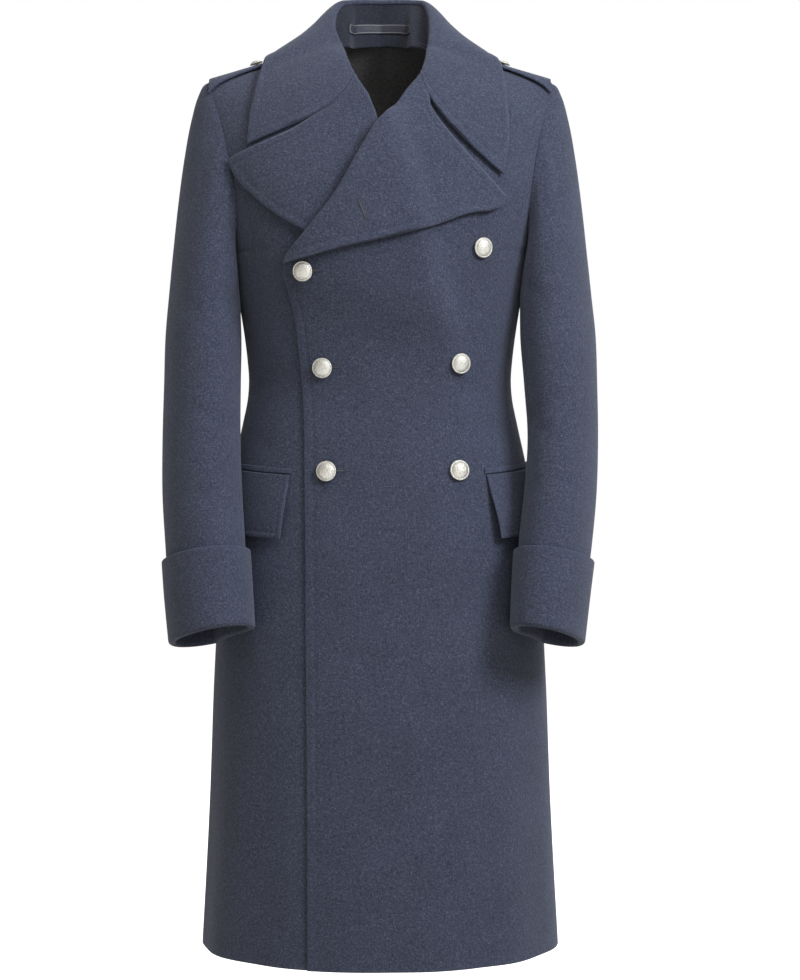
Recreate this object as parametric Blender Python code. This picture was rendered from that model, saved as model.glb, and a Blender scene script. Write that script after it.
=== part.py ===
"""Military greatcoat: a knee-length double-breasted coat of heavy wool, filled out with no wearer.

The frame: +X is the wearer's left, -Y is the front, +Z is up. The origin lies on the centre line, level
with the tops of the shoulders beside the neck, where a wearer holds the coat up. All sizes here are in
millimetres; the meshes are in metres.

The body is a stack of rings, each half a super-ellipse in front and half behind. Above the armpits a
dome closes it at the shoulder seams. Each panel is a wall on that form, and what lies on a panel is made
from the panel's own form, moved out.
"""

import math
from collections import namedtuple

import bmesh
import bpy
import numpy as np
from mathutils import Vector
from mathutils.bvhtree import BVHTree

MM = 0.001

# Cloth and gaps
CLOTH = 2.6
DOUBLE_CLOTH = 4.2
LINING_CLOTH = 1.2
SEAM_GAP = 0.3
LAYER_GAP = 0.9
LAPEL_GAP = 2.6
TIP_LIFT = 2.5
LIFT_GAP = 5.6
SHANK_GAP = 0.8
CUFF_GAP = 1.8
LABEL_GAP = 1.5
COLLAR_GAP = 3.4
ARM_CLEARANCE = 3.6
CUFF_CLEARANCE = 10.0

# Main sizes of the coat
HEM_Z = -1160.0
HEM_DIP = 6.0
ARMPIT_Z = -270.0
NECK_HALF_WIDTH = 70.0
SHOULDER_SLOPE = 0.29
NAPE_RISE = 16.0
BODY_SQUARENESS = 2.3
CHEST_DOME = 1.8
BACK_DOME = 3.0
CUFF_DEPTH = 96.0

# Half widths and depths of the body, hem to shoulder
Ring = namedtuple("Ring", "z half_width front_depth back_depth")
BODY_RINGS = [
    Ring(-1160, 232, 170, 165),
    Ring(-990, 222.5, 160, 158),
    Ring(-775, 213.5, 148, 150),
    Ring(-637, 204, 140, 145),
    Ring(-546, 191, 133, 138),
    Ring(-500, 181, 127, 126),
    Ring(-440, 170, 121, 113),
    Ring(-384, 174, 124, 112),
    Ring(-320, 184, 131, 118),
    Ring(-270, 192, 135, 124),
    Ring(-180, 214, 135, 124),
    Ring(-90, 232, 135, 124),
    Ring(0, 238, 135, 124),
    Ring(60, 240, 135, 124),
]

# How far out the armhole seam lies at each height: front of each side, and back
Armhole = namedtuple("Armhole", "z front_left front_right back")
ARMHOLES = [
    Armhole(-270, 192, 192, 192),
    Armhole(-267, 190.5, 189, 193),
    Armhole(-258, 189, 185.5, 194),
    Armhole(-235, 189, 181, 196),
    Armhole(-207, 191, 181, 198),
    Armhole(-170, 196, 187, 201),
    Armhole(-130, 203, 196, 205),
    Armhole(-95, 211, 205, 210),
    Armhole(-60, 219, 217, 217),
    Armhole(-30, 226, 226, 226),
]

# The free edge and roll line of each front, as seen on its own side of the centre
FrontEdge = namedtuple("FrontEdge", "z left right")
FRONT_EDGES = [
    FrontEdge(-1160, -88.4, -93),
    FrontEdge(-990, -89, -93),
    FrontEdge(-753, -91, -93),
    FrontEdge(-537, -93, -93),
    FrontEdge(-487, -93.6, -90),
    FrontEdge(-401, -99.7, -77),
    FrontEdge(-350, -106, -64),
    FrontEdge(-315, -113, -54),
    FrontEdge(-287, -116, -48),
    FrontEdge(-250, -88.5, -39),
    FrontEdge(-205, -54, -27),
    FrontEdge(-150, -23.5, -13),
    FrontEdge(-109, 2, 0),
    FrontEdge(-94, 15, 5),
    FrontEdge(-77, 27.5, 12.6),
    FrontEdge(-58, 41, 22),
    FrontEdge(-40, 52.5, 31),
    FrontEdge(-17, 61, 46),
    FrontEdge(0, 67, 64),
    FrontEdge(20, 73, 73),
]
ROLL_SETBACK = 3.0
STAND_END = 0.66
LAPEL_ROLL_RISE = 3.5
COLLAR_ROLL_RISE = 4.0
ROLL_FALL = 5
SHARP_ANGLE = 50

# Sleeve rings below the armpit: outer and inner reach of each side, and how the ring lies
SleeveRing = namedtuple(
    "SleeveRing", "z outer_left outer_right inner_left inner_right middle_y half_depth turn pitch roll"
)
SLEEVE_RINGS = [
    SleeveRing(-325, 274, 273, 178, 176, -24, 74, 12, 6, 0),
    SleeveRing(-370, 278, 276, 179, 176, -34, 71, 14, 8, 0),
    SleeveRing(-435, 279.5, 277, 184, 177, -47, 69, 15, 10, 0),
    SleeveRing(-505, 279.5, 277.5, 188, 176.5, -63, 66, 16, 12, 0),
    SleeveRing(-575, 276, 276, 183, 173, -80, 65, 16, 13, 3),
    SleeveRing(-635, 269, 271, 176, 169, -95, 63, 16, 13, 6),
    SleeveRing(-690, 261, 266, 172, 165, -109, 61, 16, 13, 9),
    SleeveRing(-750, 253, 259, 169, 161, -123, 60, 16, 13, 11),
]
SLEEVE_CAP_STEPS = [0.08, 0.18, 0.32, 0.48, 0.65, 0.83]
SLEEVE_FRONT_SEAM = 0.36
SLEEVE_BACK_SEAM = 0.68

# The collar's fold, half way round from the nape, and its outer edge on each side
Fold = namedtuple("Fold", "u x_left x_right y z")
COLLAR_FOLD = [
    Fold(0.0, 0, 0, 68, 69),
    Fold(0.12, 22, 20, 66, 69),
    Fold(0.25, 44, 40, 60, 67.5),
    Fold(0.36, 60, 54, 47, 63),
    Fold(0.46, 66, 61, 25, 48),
    Fold(0.56, 67, 62, 4, 29),
    Fold(0.7, 65, 55, -18, 6),
    Fold(0.85, 60, 44, -45, -17),
    Fold(1.0, 51, 31, -73, -41),
]
Edge = namedtuple("Edge", "u x_left y_left z_left x_right y_right z_right")
COLLAR_EDGE = [
    Edge(0.0, 0, 112, -30, 0, 112, -30),
    Edge(0.12, 38, 111, -31, 38, 111, -31),
    Edge(0.25, 76, 100, -31, 75, 100, -31),
    Edge(0.36, 110, 78, -27, 107, 78, -27),
    Edge(0.46, 136, 44, -17, 132, 44, -17),
    Edge(0.56, 146, 6, -11, 143, 6, -10),
    Edge(0.7, 157, -36, -29, 151, -32, -25),
    Edge(0.85, 163, -76, -82, 159, -62, -60),
    Edge(0.93, 163.5, -100, -128, 164, -84, -94),
    Edge(1.0, 156, -120, -172, 167, -112, -133),
]

# Corner points of the fronts of collar and lapels, x and z on the chest
Corners = namedtuple("Corners", "leaf_bow_1 leaf_bow_2 top_z top_bow_1 top_bow_2 tip")
CHEST_CORNERS = {
    1: Corners((60, -85), (100, -125), -47, (56, -97), (100, -136), (157, -201)),
    -1: Corners((50, -96), (105, -105), -50, (50, -106), (115, -115), (189, -151)),
}
LapelEdge = namedtuple("LapelEdge", "s x_left z_left x_right z_right")
LAPEL_EDGE = [
    LapelEdge(0.0, 157, -201, 189, -151),
    LapelEdge(0.06, 147, -214, 181, -170),
    LapelEdge(0.2, 112, -223, 152, -203),
    LapelEdge(0.4, 62, -242, 112, -234),
    LapelEdge(0.6, 8, -256, 62, -262),
    LapelEdge(0.8, -50, -268, 5, -287),
    LapelEdge(1.0, -112, -284, -46, -300),
]
LAPEL_ROLL_FOOT_Z = {1: -276.0, -1: -288.0}

# Buttons
BUTTON_RADIUS = 12.5
SHOULDER_BUTTON_RADIUS = 8.5
BUTTON_PLACES = {
    "button_top_left": (129, -265),
    "button_top_right": (-91, -295),
    "button_waist_left": (100, -410),
    "button_waist_right": (-70, -416),
    "button_low_left": (98.5, -545),
    "button_low_right": (-65, -546),
}
SHOULDER_BUTTON_X = 159.5

# Shoulder straps
STRAP_INNER_X = 137.0
STRAP_OUTER_X = 221.0
STRAP_HALF_WIDTH_INNER = 19.0
STRAP_HALF_WIDTH_OUTER = 25.0
STRAP_POINT = 9.0
STRAP_ARCH = 0.7
STRAP_REST = 1.0
STRAP_EXTRA = 0.4

# Pocket flaps: front edge at its top and foot on each side, in x
FLAP_TOP_Z = -551.0
FLAP_DEPTH = 80.0
FLAP_FRONT_TOP = {1: 134.0, -1: 112.0}
FLAP_FRONT_FOOT = {1: 147.0, -1: 121.0}
FLAP_REACH_ANGLE = 82.0
FLAP_RISE = 8.0
FLAP_STANDS_OFF = {1: 9.0, -1: 5.0}
WELT_DEPTH = 6.0
WELT_CLOTH = 1.6

# Label on the inside of the collar, left blank
LABEL_HALF_WIDTH = 42.5
LABEL_ON_STAND = (0.47, 0.28)
LABEL_CLOTH = 0.7
LINING_FOOT_Z = -330.0

MATERIALS = {
    "wool": ((0.066, 0.076, 0.105, 1), 0.95, 0.0),
    "lining_cloth": ((0.012, 0.012, 0.017, 1), 0.55, 0.0),
    "button_metal": ((0.74, 0.72, 0.66, 1), 0.3, 0.9),
    "label_cloth": ((0.03, 0.03, 0.04, 1), 0.7, 0.0),
}


def clear_scene():
    for old in list(bpy.data.objects):
        bpy.data.objects.remove(old, do_unlink=True)


def material(name):
    """The named cloth or metal, made once."""
    if name in bpy.data.materials:
        return bpy.data.materials[name]
    colour, roughness, metallic = MATERIALS[name]
    made = bpy.data.materials.new(name)
    made.use_nodes = True
    shader = made.node_tree.nodes["Principled BSDF"]
    shader.inputs["Base Color"].default_value = colour
    shader.inputs["Roughness"].default_value = roughness
    shader.inputs["Metallic"].default_value = metallic
    made.diffuse_color = colour
    return made


def read(table, column, at):
    """A smooth reading of one column of a table, whose first column is what it is read by."""
    keys = [row[0] for row in table]
    values = [getattr(row, column) for row in table]
    if keys[0] > keys[-1]:
        keys.reverse()
        values.reverse()
    at = min(max(at, keys[0]), keys[-1])
    k = max(i for i in range(len(keys) - 1) if keys[i] <= at)
    span = keys[k + 1] - keys[k]

    def slope(i):
        if i == 0:
            return (values[1] - values[0]) / (keys[1] - keys[0])
        if i == len(keys) - 1:
            return (values[i] - values[i - 1]) / (keys[i] - keys[i - 1])
        before = (values[i] - values[i - 1]) / (keys[i] - keys[i - 1])
        after = (values[i + 1] - values[i]) / (keys[i + 1] - keys[i])
        share = (keys[i + 1] - keys[i]) / (keys[i + 1] - keys[i - 1])
        return before * share + after * (1 - share)

    t = (at - keys[k]) / span
    rise_in = slope(k) * span
    rise_out = slope(k + 1) * span
    return (
        values[k] * (2 * t**3 - 3 * t**2 + 1)
        + rise_in * (t**3 - 2 * t**2 + t)
        + values[k + 1] * (3 * t**2 - 2 * t**3)
        + rise_out * (t**3 - t**2)
    )


def ease(value):
    """0 below 0, 1 above 1, and a soft step between."""
    t = min(max(value, 0.0), 1.0)
    return t * t * (3 - 2 * t)


def bow(points, t):
    """A point on the cubic Bezier curve of four points."""
    weights = ((1 - t) ** 3, 3 * t * (1 - t) ** 2, 3 * t * t * (1 - t), t**3)
    return sum(w * np.array(p, float) for w, p in zip(weights, points))


def ridge_z(x):
    """Height of the shoulder seam, and of the dome over the neck where there is no cloth."""
    out = abs(x) - NECK_HALF_WIDTH
    if out > 0:
        return -SHOULDER_SLOPE * out
    return -SHOULDER_SLOPE * out * (1 - 0.25 * out / -NECK_HALF_WIDTH)


def back_ridge_z(x):
    inside = max(0.0, 1 - abs(x) / NECK_HALF_WIDTH)
    return ridge_z(x) + (NAPE_RISE * 0.75) * ease(inside)


def depth(x, z, front):
    """How far the outer face of the body lies in front of, or behind, the side seams' plane."""
    half_width = read(BODY_RINGS, "half_width", z)
    deep = read(BODY_RINGS, "front_depth" if front else "back_depth", z)
    across = max(0.0, 1 - (abs(x) / half_width) ** BODY_SQUARENESS) ** (1 / BODY_SQUARENESS)
    if z <= ARMPIT_Z:
        return deep * across
    top = ridge_z(x) if front else back_ridge_z(x)
    dome = CHEST_DOME
    if not front:
        dome = BACK_DOME + (CHEST_DOME - BACK_DOME) * ease((abs(x) - 60) / 120)
    rise = min(1.0, (z - ARMPIT_Z) / (top - ARMPIT_Z))
    return deep * across * (1 - rise**dome) ** (1 / dome)


def front_point(x, z, out=0.0):
    """A point of the body's front, moved out along its normal."""
    step = 1.5
    across = (depth(x + step, z, True) - depth(x - step, z, True)) / (2 * step)
    up = (depth(x, z + step, True) - depth(x, z - step, True)) / (2 * step)
    normal = np.array([-across, -1.0, -up])
    normal /= np.linalg.norm(normal)
    return np.array([x, -depth(x, z, True), z]) + normal * out


def ring_point(angle, z, out=0.0):
    """A point of a body ring below the armpit: angle 0 is the centre front and 90 the left side seam."""
    wide = read(BODY_RINGS, "half_width", z) + out
    turned = math.radians(angle)
    power = 2 / BODY_SQUARENESS
    front = math.cos(turned) >= 0
    deep = read(BODY_RINGS, "front_depth" if front else "back_depth", z) + out
    x = wide * math.copysign(abs(math.sin(turned)) ** power, math.sin(turned))
    y = -deep * math.copysign(abs(math.cos(turned)) ** power, math.cos(turned))
    return np.array([x, y, z])


def ring_angle(x, z):
    wide = read(BODY_RINGS, "half_width", z)
    share = min(1.0, abs(x) / wide) ** (BODY_SQUARENESS / 2)
    return math.copysign(math.degrees(math.asin(share)), x)


def edge_x(side, z):
    """Free edge or roll line of a front, on its own side of the centre."""
    return read(FRONT_EDGES, "left" if side > 0 else "right", z)


def panel_edge_x(side, z):
    """Where the front's own cloth ends: a little behind the lapel's fold above the break."""
    return edge_x(side, z) + ROLL_SETBACK * ease((z + 285) / 40)


def overlap_lift(x, z):
    """How far the left front stands out over the right front, and over the right lapel under it."""
    under_edge = -edge_x(-1, z)
    below_crossing = ease((-84 - z) / 22)
    over_front = ease((under_edge + 50 - x) / 42) * below_crossing
    lapel_foot_z = -246 - 0.367 * (x + 97)
    over_lapel = ease((under_edge + 42 - x) / 34) * below_crossing
    over_lapel *= ease((z - lapel_foot_z + 54) / 34)
    return over_front * (CLOTH + LAYER_GAP) + over_lapel * (DOUBLE_CLOTH + LIFT_GAP)


def grid_normals(grid, around):
    """Unit normals of a grid of points, from its rows and columns."""
    if around:
        along = np.roll(grid, -1, 1) - np.roll(grid, 1, 1)
    else:
        along = np.gradient(grid, axis=1)
    down = np.gradient(grid, axis=0)
    normals = np.cross(along, down)
    return normals / np.maximum(np.linalg.norm(normals, axis=2, keepdims=True), 1e-9)


def outward(grid, normals, away_from):
    """The normals, turned to point away from a place given for each row."""
    middle = np.array(away_from, float)
    if middle.ndim == 1:
        middle = np.broadcast_to(middle, (grid.shape[0], 3))
    facing = ((grid - middle[:, None, :]) * normals).sum()
    return normals if facing > 0 else -normals


def add_mesh(name, points, faces, finish):
    mesh = bpy.data.meshes.new(name)
    mesh.from_pydata([tuple(p * MM) for p in points], [], faces)
    built = bmesh.new()
    built.from_mesh(mesh)
    bmesh.ops.recalc_face_normals(built, faces=built.faces)
    built.to_mesh(mesh)
    built.free()
    mesh.shade_smooth()
    mesh.set_sharp_from_angle(angle=math.radians(SHARP_ANGLE))
    made = bpy.data.objects.new(name, mesh)
    made.data.materials.append(material(finish))
    bpy.context.scene.collection.objects.link(made)
    return made


def wall(name, grid, normals, thickness, finish, around=False):
    """A closed wall of cloth: the grid is its outer face and the inner face lies a thickness behind."""
    rows, columns = grid.shape[:2]
    thick = np.broadcast_to(np.asarray(thickness, float), (rows, columns))[..., None]
    points = np.concatenate([grid.reshape(-1, 3), (grid - normals * thick).reshape(-1, 3)])
    count = rows * columns
    steps = columns if around else columns - 1
    faces = []
    for r in range(rows - 1):
        for c in range(steps):
            a, b = r * columns + c, r * columns + (c + 1) % columns
            d, e = a + columns, b + columns
            faces.append((a, b, e, d))
            faces.append((count + a, count + d, count + e, count + b))
    for c in range(steps):
        a, b = c, (c + 1) % columns
        faces.append((a, count + a, count + b, b))
        a, b = a + (rows - 1) * columns, b + (rows - 1) * columns
        faces.append((a, b, count + b, count + a))
    if not around:
        for r in range(rows - 1):
            a, b = r * columns, (r + 1) * columns
            faces.append((a, b, count + b, count + a))
            a, b = a + columns - 1, b + columns - 1
            faces.append((a, count + a, count + b, b))
    return add_mesh(name, points, faces, finish)


def seam_normals(grid, normals, centre_seam):
    """Keep the normals along a seam in the seam's own plane, so that both sides of it match."""
    fixed = normals.copy()
    on_side = np.abs(grid[..., 1]) < 1.0
    fixed[on_side, 1] = 0.0
    if centre_seam:
        fixed[np.abs(grid[..., 0]) < 1.0, 0] = 0.0
    return fixed / np.linalg.norm(fixed, axis=2, keepdims=True)


def body_rows():
    """Heights of the rows below the armpit, then shares of the rise from armpit to shoulder."""
    low = [HEM_Z, -1060, -940, -820, -710, -630, -570, -520, -475, -435, -390, -340, -300]
    high = [0.0, 0.02, 0.075, 0.16, 0.28, 0.42, 0.57, 0.71, 0.83, 0.92, 0.975, 1.0]
    return low, high


def settle(first, towards):
    """Repeat x = towards(x) until it settles."""
    x = first
    for _ in range(14):
        x = 0.5 * x + 0.5 * towards(x)
    return x


def front_grid(side):
    """Outer face of one front, from its free edge to the side seam and armhole."""
    low, high = body_rows()
    columns = 15
    rows = []
    for z in low:
        start = ring_angle(panel_edge_x(side, z), z)
        angles = [start + (90 - start) * c / (columns - 1) for c in range(columns)]
        dip = HEM_DIP if z == HEM_Z else 0.0
        rows.append([(ring_point(a, z)[0], z - dip * math.cos(math.radians(a)) ** 2) for a in angles])
    for share in high:
        def z_of(x, share=share):
            return ARMPIT_Z + (ridge_z(x) - ARMPIT_Z) * share

        inner = settle(0.0, lambda x: panel_edge_x(side, z_of(x)))
        if share == 1.0:
            inner = NECK_HALF_WIDTH
        column = "front_left" if side > 0 else "front_right"
        outer = settle(200.0, lambda x: read(ARMHOLES, column, z_of(x)))
        wide = read(BODY_RINGS, "half_width", z_of(outer)) if share > 0 else outer
        start = math.asin(min(1.0, abs(inner) / wide) ** (BODY_SQUARENESS / 2)) * math.copysign(1, inner)
        end = math.asin(min(1.0, outer / wide) ** (BODY_SQUARENESS / 2))
        line = []
        for c in range(columns):
            turned = start + (end - start) * c / (columns - 1)
            x = wide * math.copysign(abs(math.sin(turned)) ** (2 / BODY_SQUARENESS), turned)
            line.append((x, z_of(x)))
        rows.append(line)
    grid = np.zeros((len(rows), columns, 3))
    for r, line in enumerate(rows):
        for c, (x, z) in enumerate(line):
            at_side = c == columns - 1 and z <= ARMPIT_Z
            at_ridge = r == len(rows) - 1
            lift = overlap_lift(x, z) if side > 0 else 0.0
            if at_side or at_ridge:
                grid[r, c] = (side * x, 0.0, z)
            elif lift > 0:
                grid[r, c] = front_point(x, z, lift)
            else:
                grid[r, c] = (side * x, -depth(x, z, True), z)
            if at_side or at_ridge:
                grid[r, c, 1] -= SEAM_GAP / 2
    return grid


def back_grid(side):
    """Outer face of one half of the back, from the centre-back seam to the side seam and armhole."""
    low, high = body_rows()
    inner_columns, outer_columns = 3, 7
    columns = inner_columns + outer_columns + 1
    grid = np.zeros((len(low) + len(high), columns, 3))

    def angles_of(end):
        split = math.asin((NECK_HALF_WIDTH / 200) ** (BODY_SQUARENESS / 2))
        first = [split * c / inner_columns for c in range(inner_columns)]
        return first + [split + (end - split) * c / outer_columns for c in range(outer_columns + 1)]

    for r, z in enumerate(low):
        for c, turned in enumerate(angles_of(math.pi / 2)):
            place = ring_point(180 - math.degrees(turned), z)
            grid[r, c] = (side * place[0], place[1], z)
        grid[r, -1, 1] = SEAM_GAP / 2
    for k, share in enumerate(high):
        r = len(low) + k

        def top_of(x):
            if abs(x) >= NECK_HALF_WIDTH:
                return ridge_z(x)
            return NAPE_RISE * (1 - (x / NECK_HALF_WIDTH) ** 2)

        def z_of(x, share=share):
            return ARMPIT_Z + (top_of(x) - ARMPIT_Z) * share

        outer = settle(200.0, lambda x: read(ARMHOLES, "back", z_of(x)))
        wide = read(BODY_RINGS, "half_width", z_of(outer)) if share > 0 else outer
        end = math.asin(min(1.0, outer / wide) ** (BODY_SQUARENESS / 2))
        across = angles_of(end)
        scale = [wide * math.sin(a) ** (2 / BODY_SQUARENESS) for a in across]
        stretch = NECK_HALF_WIDTH / scale[inner_columns]
        for c, x in enumerate(scale):
            if c <= inner_columns:
                x *= stretch
            else:
                over = (x - scale[inner_columns]) / (scale[-1] - scale[inner_columns])
                x = NECK_HALF_WIDTH + (scale[-1] - NECK_HALF_WIDTH) * over
            z = z_of(x)
            grid[r, c] = (side * x, depth(x, z, False), z)
            at_ridge = share == 1.0 and c >= inner_columns
            if at_ridge or (share == 0.0 and c == columns - 1):
                grid[r, c, 1] = SEAM_GAP / 2
    grid[:, 0, 0] = side * SEAM_GAP / 2
    return grid


def middle_of(grid):
    """The coat's own middle, level with each row of a panel."""
    lowered = grid[..., 2].mean(axis=1) - 40
    return np.stack([np.zeros(len(grid)), np.zeros(len(grid)), lowered], axis=1)


def body_panel(name, grid, centre_seam):
    normals = outward(grid, grid_normals(grid, False), middle_of(grid))
    normals = seam_normals(grid, normals, centre_seam)
    wall(name, grid, normals, CLOTH, "wool")
    return normals


def surface_tree(grids):
    """The outer faces of several grids, to find how near a point comes."""
    points = []
    faces = []
    for grid in grids:
        start = len(points)
        rows, columns = grid.shape[:2]
        points.extend(Vector(p) for p in grid.reshape(-1, 3))
        for r in range(rows - 1):
            for c in range(columns - 1):
                a = start + r * columns + c
                faces.append((a, a + 1, a + columns + 1, a + columns))
    return BVHTree.FromPolygons(points, faces)


def keep_clear(point, trees, clearance, facing_share=0.7):
    """Move a point off the outer faces that it faces, where it comes nearer than the clearance."""
    place = Vector(point)
    for _ in range(3):
        for tree in trees:
            near, normal, _, far = tree.find_nearest(place)
            if near is None:
                continue
            away = Vector((near.x, near.y, 0)) if near.z < -40 else Vector((near.x, near.y, near.z + 200))
            if normal.dot(away) < 0:
                normal = -normal
            height = (place - near).dot(normal)
            if far < 40 and height < clearance and abs(height) >= facing_share * far:
                place += normal * (clearance - height)
    return np.array(place)


def sit_on(point, tree, height):
    """The place straight out from the panel's face below a point, at a height above it."""
    near, normal, _, _ = tree.find_nearest(Vector(point))
    if normal.dot(Vector((near.x, near.y, 0))) < 0:
        normal = -normal
    return np.array(near + normal * height)


def armhole_loop(front, front_normals, back, back_normals, low_count):
    """Points of the armhole seam from the shoulder down the front and up the back, with the wall's normals."""
    front_edge = front[low_count:, -1][::-1]
    back_edge = back[low_count:, -1]
    points = np.concatenate([front_edge, back_edge[1:-1]])
    normals = np.concatenate([front_normals[low_count:, -1][::-1], back_normals[low_count:, -1][1:-1]])
    points[0, 1] = 0.0
    bottom = len(front_edge) - 1
    points[bottom, 1] = 0.0
    return points, normals


def sleeve_ring(side, row, shares):
    """Points of one sleeve ring; share 0 is the outer side, and it turns towards the front."""
    suffix = "left" if side > 0 else "right"
    outer = getattr(row, "outer_" + suffix)
    inner = getattr(row, "inner_" + suffix)
    middle = np.array([(outer + inner) / 2, row.middle_y, row.z])
    turn = math.radians(row.turn)
    reach = (outer - inner) / 2
    half_width = math.sqrt(max(1.0, reach**2 - (row.half_depth * math.sin(turn)) ** 2)) / math.cos(turn)
    points = []
    for share in shares:
        angle = 2 * math.pi * share
        across = half_width * math.cos(angle)
        ahead = row.half_depth * math.sin(angle)
        x = across * math.cos(turn) - ahead * math.sin(turn)
        y = -(across * math.sin(turn) + ahead * math.cos(turn))
        z = -y * math.sin(math.radians(row.pitch)) - x * math.sin(math.radians(row.roll))
        points.append(middle + np.array([x, y * math.cos(math.radians(row.pitch)), z]))
    ring = np.array(points)
    ring[:, 0] *= side
    return ring


def sleeve_grid(side, loop, loop_normals, body_trees):
    """Outer face of a sleeve: a cap from the armhole to the arm, and the arm's rings down to the wrist."""
    closed = np.concatenate([loop, loop[:1]])
    lengths = np.linalg.norm(np.diff(closed, axis=0), axis=1)
    shares = np.concatenate([[0], np.cumsum(lengths)[:-1]]) / lengths.sum()
    rings = [sleeve_ring(side, row, shares) for row in SLEEVE_RINGS]
    tangent = np.roll(loop, -1, 0) - np.roll(loop, 1, 0)
    off_panel = np.cross(tangent, loop_normals)
    off_panel /= np.linalg.norm(off_panel, axis=1, keepdims=True)
    if off_panel[0, 0] * side < 0:
        off_panel = -off_panel
    start = loop + off_panel * SEAM_GAP
    first = rings[0]
    onward = rings[1] - rings[0]
    onward /= np.linalg.norm(onward, axis=1, keepdims=True)
    span = np.linalg.norm(first - start, axis=1)
    turned = 2 * math.pi * shares
    top = np.cos(turned)
    ahead = np.sin(turned)
    leave = np.stack(
        [
            side * (0.24 + 0.04 * top),
            -0.12 * ahead * (top < 0.5),
            -0.30 * (1 - np.abs(top)) * (top > 0) - 0.06 * np.maximum(0, -top),
        ],
        axis=1,
    )
    grid = [start]
    for t in SLEEVE_CAP_STEPS:
        a = (2 * t**3 - 3 * t**2 + 1) * start
        b = (t**3 - 2 * t**2 + t) * leave * span[:, None]
        c = (3 * t**2 - 2 * t**3) * first
        d = (t**3 - t**2) * onward * span[:, None] * 0.95
        grid.append(a + b + c + d)
    grid.extend(rings)
    for r in range(1, len(grid)):
        near_hip = ease((-430 - grid[r][:, 2].mean()) / 90)
        clearance = min(2.4 * r, ARM_CLEARANCE) * (1 - near_hip) + CUFF_CLEARANCE * near_hip
        for c in range(grid[r].shape[0]):
            grid[r][c] = keep_clear(grid[r][c], body_trees, clearance)
    return np.array(grid), off_panel


def sleeve(side, loop, loop_normals, body_trees):
    """Top sleeve, under sleeve and turned-back cuff of one arm."""
    name = "left" if side > 0 else "right"
    grid, off_panel = sleeve_grid(side, loop, loop_normals, body_trees)
    middles = grid.mean(axis=1)
    normals = outward(grid[1:], grid_normals(grid, True)[1:], middles[1:])
    first = outward(grid[:1], grid_normals(grid, True)[:1], loop.mean(axis=0) + [side * 60, 0, -60])
    own = first[0]
    bulging = (own * off_panel).sum(axis=1) > 0
    own[bulging] = loop_normals[bulging]
    normals = np.concatenate([own[None], normals])
    count = grid.shape[1]
    front_seam = round(count * SLEEVE_FRONT_SEAM)
    back_seam = round(count * SLEEVE_BACK_SEAM)
    top_columns = [c % count for c in range(back_seam, front_seam + count + 1)]
    under_columns = list(range(front_seam, back_seam + 1))
    for part_name, columns in (("sleeve_top_", top_columns), ("sleeve_under_", under_columns)):
        piece = grid[:, columns].copy()
        towards = grid[:, columns[1]] - grid[:, columns[0]]
        piece[:, 0] += towards / np.linalg.norm(towards, axis=1, keepdims=True) * SEAM_GAP / 2
        towards = grid[:, columns[-2]] - grid[:, columns[-1]]
        piece[:, -1] += towards / np.linalg.norm(towards, axis=1, keepdims=True) * SEAM_GAP / 2
        wall(part_name + name, piece, normals[:, columns], CLOTH, "wool")
    cuff(side, grid, normals)
    return grid


def cuff(side, grid, normals):
    """The turned-back cuff: a double band round the sleeve's end."""
    name = "left" if side > 0 else "right"
    heights = grid[..., 2].mean(axis=1)
    top = heights[-1] + CUFF_DEPTH
    rows = [(top - heights[-1]) * share for share in (1.0, 0.66, 0.33, 0.0)]
    lines = []
    line_normals = []
    for up in rows:
        at = heights[-1] + up
        k = max(i for i in range(len(heights) - 1) if heights[i] >= at - 1e-6)
        t = (heights[k] - at) / (heights[k] - heights[k + 1])
        lines.append(grid[k] * (1 - t) + grid[k + 1] * t)
        line_normals.append(normals[k] * (1 - t) + normals[k + 1] * t)
    band = np.array(lines)
    out = np.array(line_normals)
    out /= np.linalg.norm(out, axis=2, keepdims=True)
    band = band + out * (CUFF_GAP + DOUBLE_CLOTH)
    band[-1] += np.array([0, 0, -1.0]) * 3
    wall("cuff_" + name, band, out, DOUBLE_CLOTH, "wool", around=True)


def lapel(side, front_tree):
    """A lapel lying on the front, from its fold to its free edge."""
    name = "left" if side > 0 else "right"
    corners = CHEST_CORNERS[side]
    rows, columns = 10, 8
    outline = np.zeros((rows, columns, 2))
    roll_foot = LAPEL_ROLL_FOOT_Z[side]
    start = np.array([edge_x(side, corners.top_z), corners.top_z])
    tip = np.array(corners.tip, float)
    for r in range(rows):
        s = r / (rows - 1)
        z = corners.top_z + (roll_foot - corners.top_z) * s
        fold = np.array([edge_x(side, z), z])
        edge = np.array([read(LAPEL_EDGE, "x_" + name, s), read(LAPEL_EDGE, "z_" + name, s)])
        for c in range(columns):
            t = c / (columns - 1)
            top = bow((start, corners.top_bow_1, corners.top_bow_2, corners.tip), t)
            straight = start * (1 - t) + tip * t
            outline[r, c] = fold * (1 - t) + edge * t + (1 - s) ** 2 * (top - straight)
    grid = np.zeros((rows, columns, 3))
    for r in range(rows):
        for c in range(columns):
            x, z = outline[r, c]
            t = c / (columns - 1)
            under = overlap_lift(x, z) if side > 0 else 0.0
            covered = 0.0 if side > 0 else ease((-80 - z) / 20)
            roll = LAPEL_ROLL_RISE * math.exp(-t * ROLL_FALL) * (1 - covered)
            gap = LAPEL_GAP + (LAYER_GAP - LAPEL_GAP) * covered
            rise = roll + TIP_LIFT * t * t
            place = front_point(x, z, under + gap + DOUBLE_CLOTH + rise)
            place[0] *= side
            grid[r, c] = keep_clear(place, [front_tree], gap + DOUBLE_CLOTH, 0.25)
    normals = outward(grid, grid_normals(grid, False), (0, 0, -200))
    wall("lapel_" + name, grid, normals, DOUBLE_CLOTH, "wool")


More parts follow.
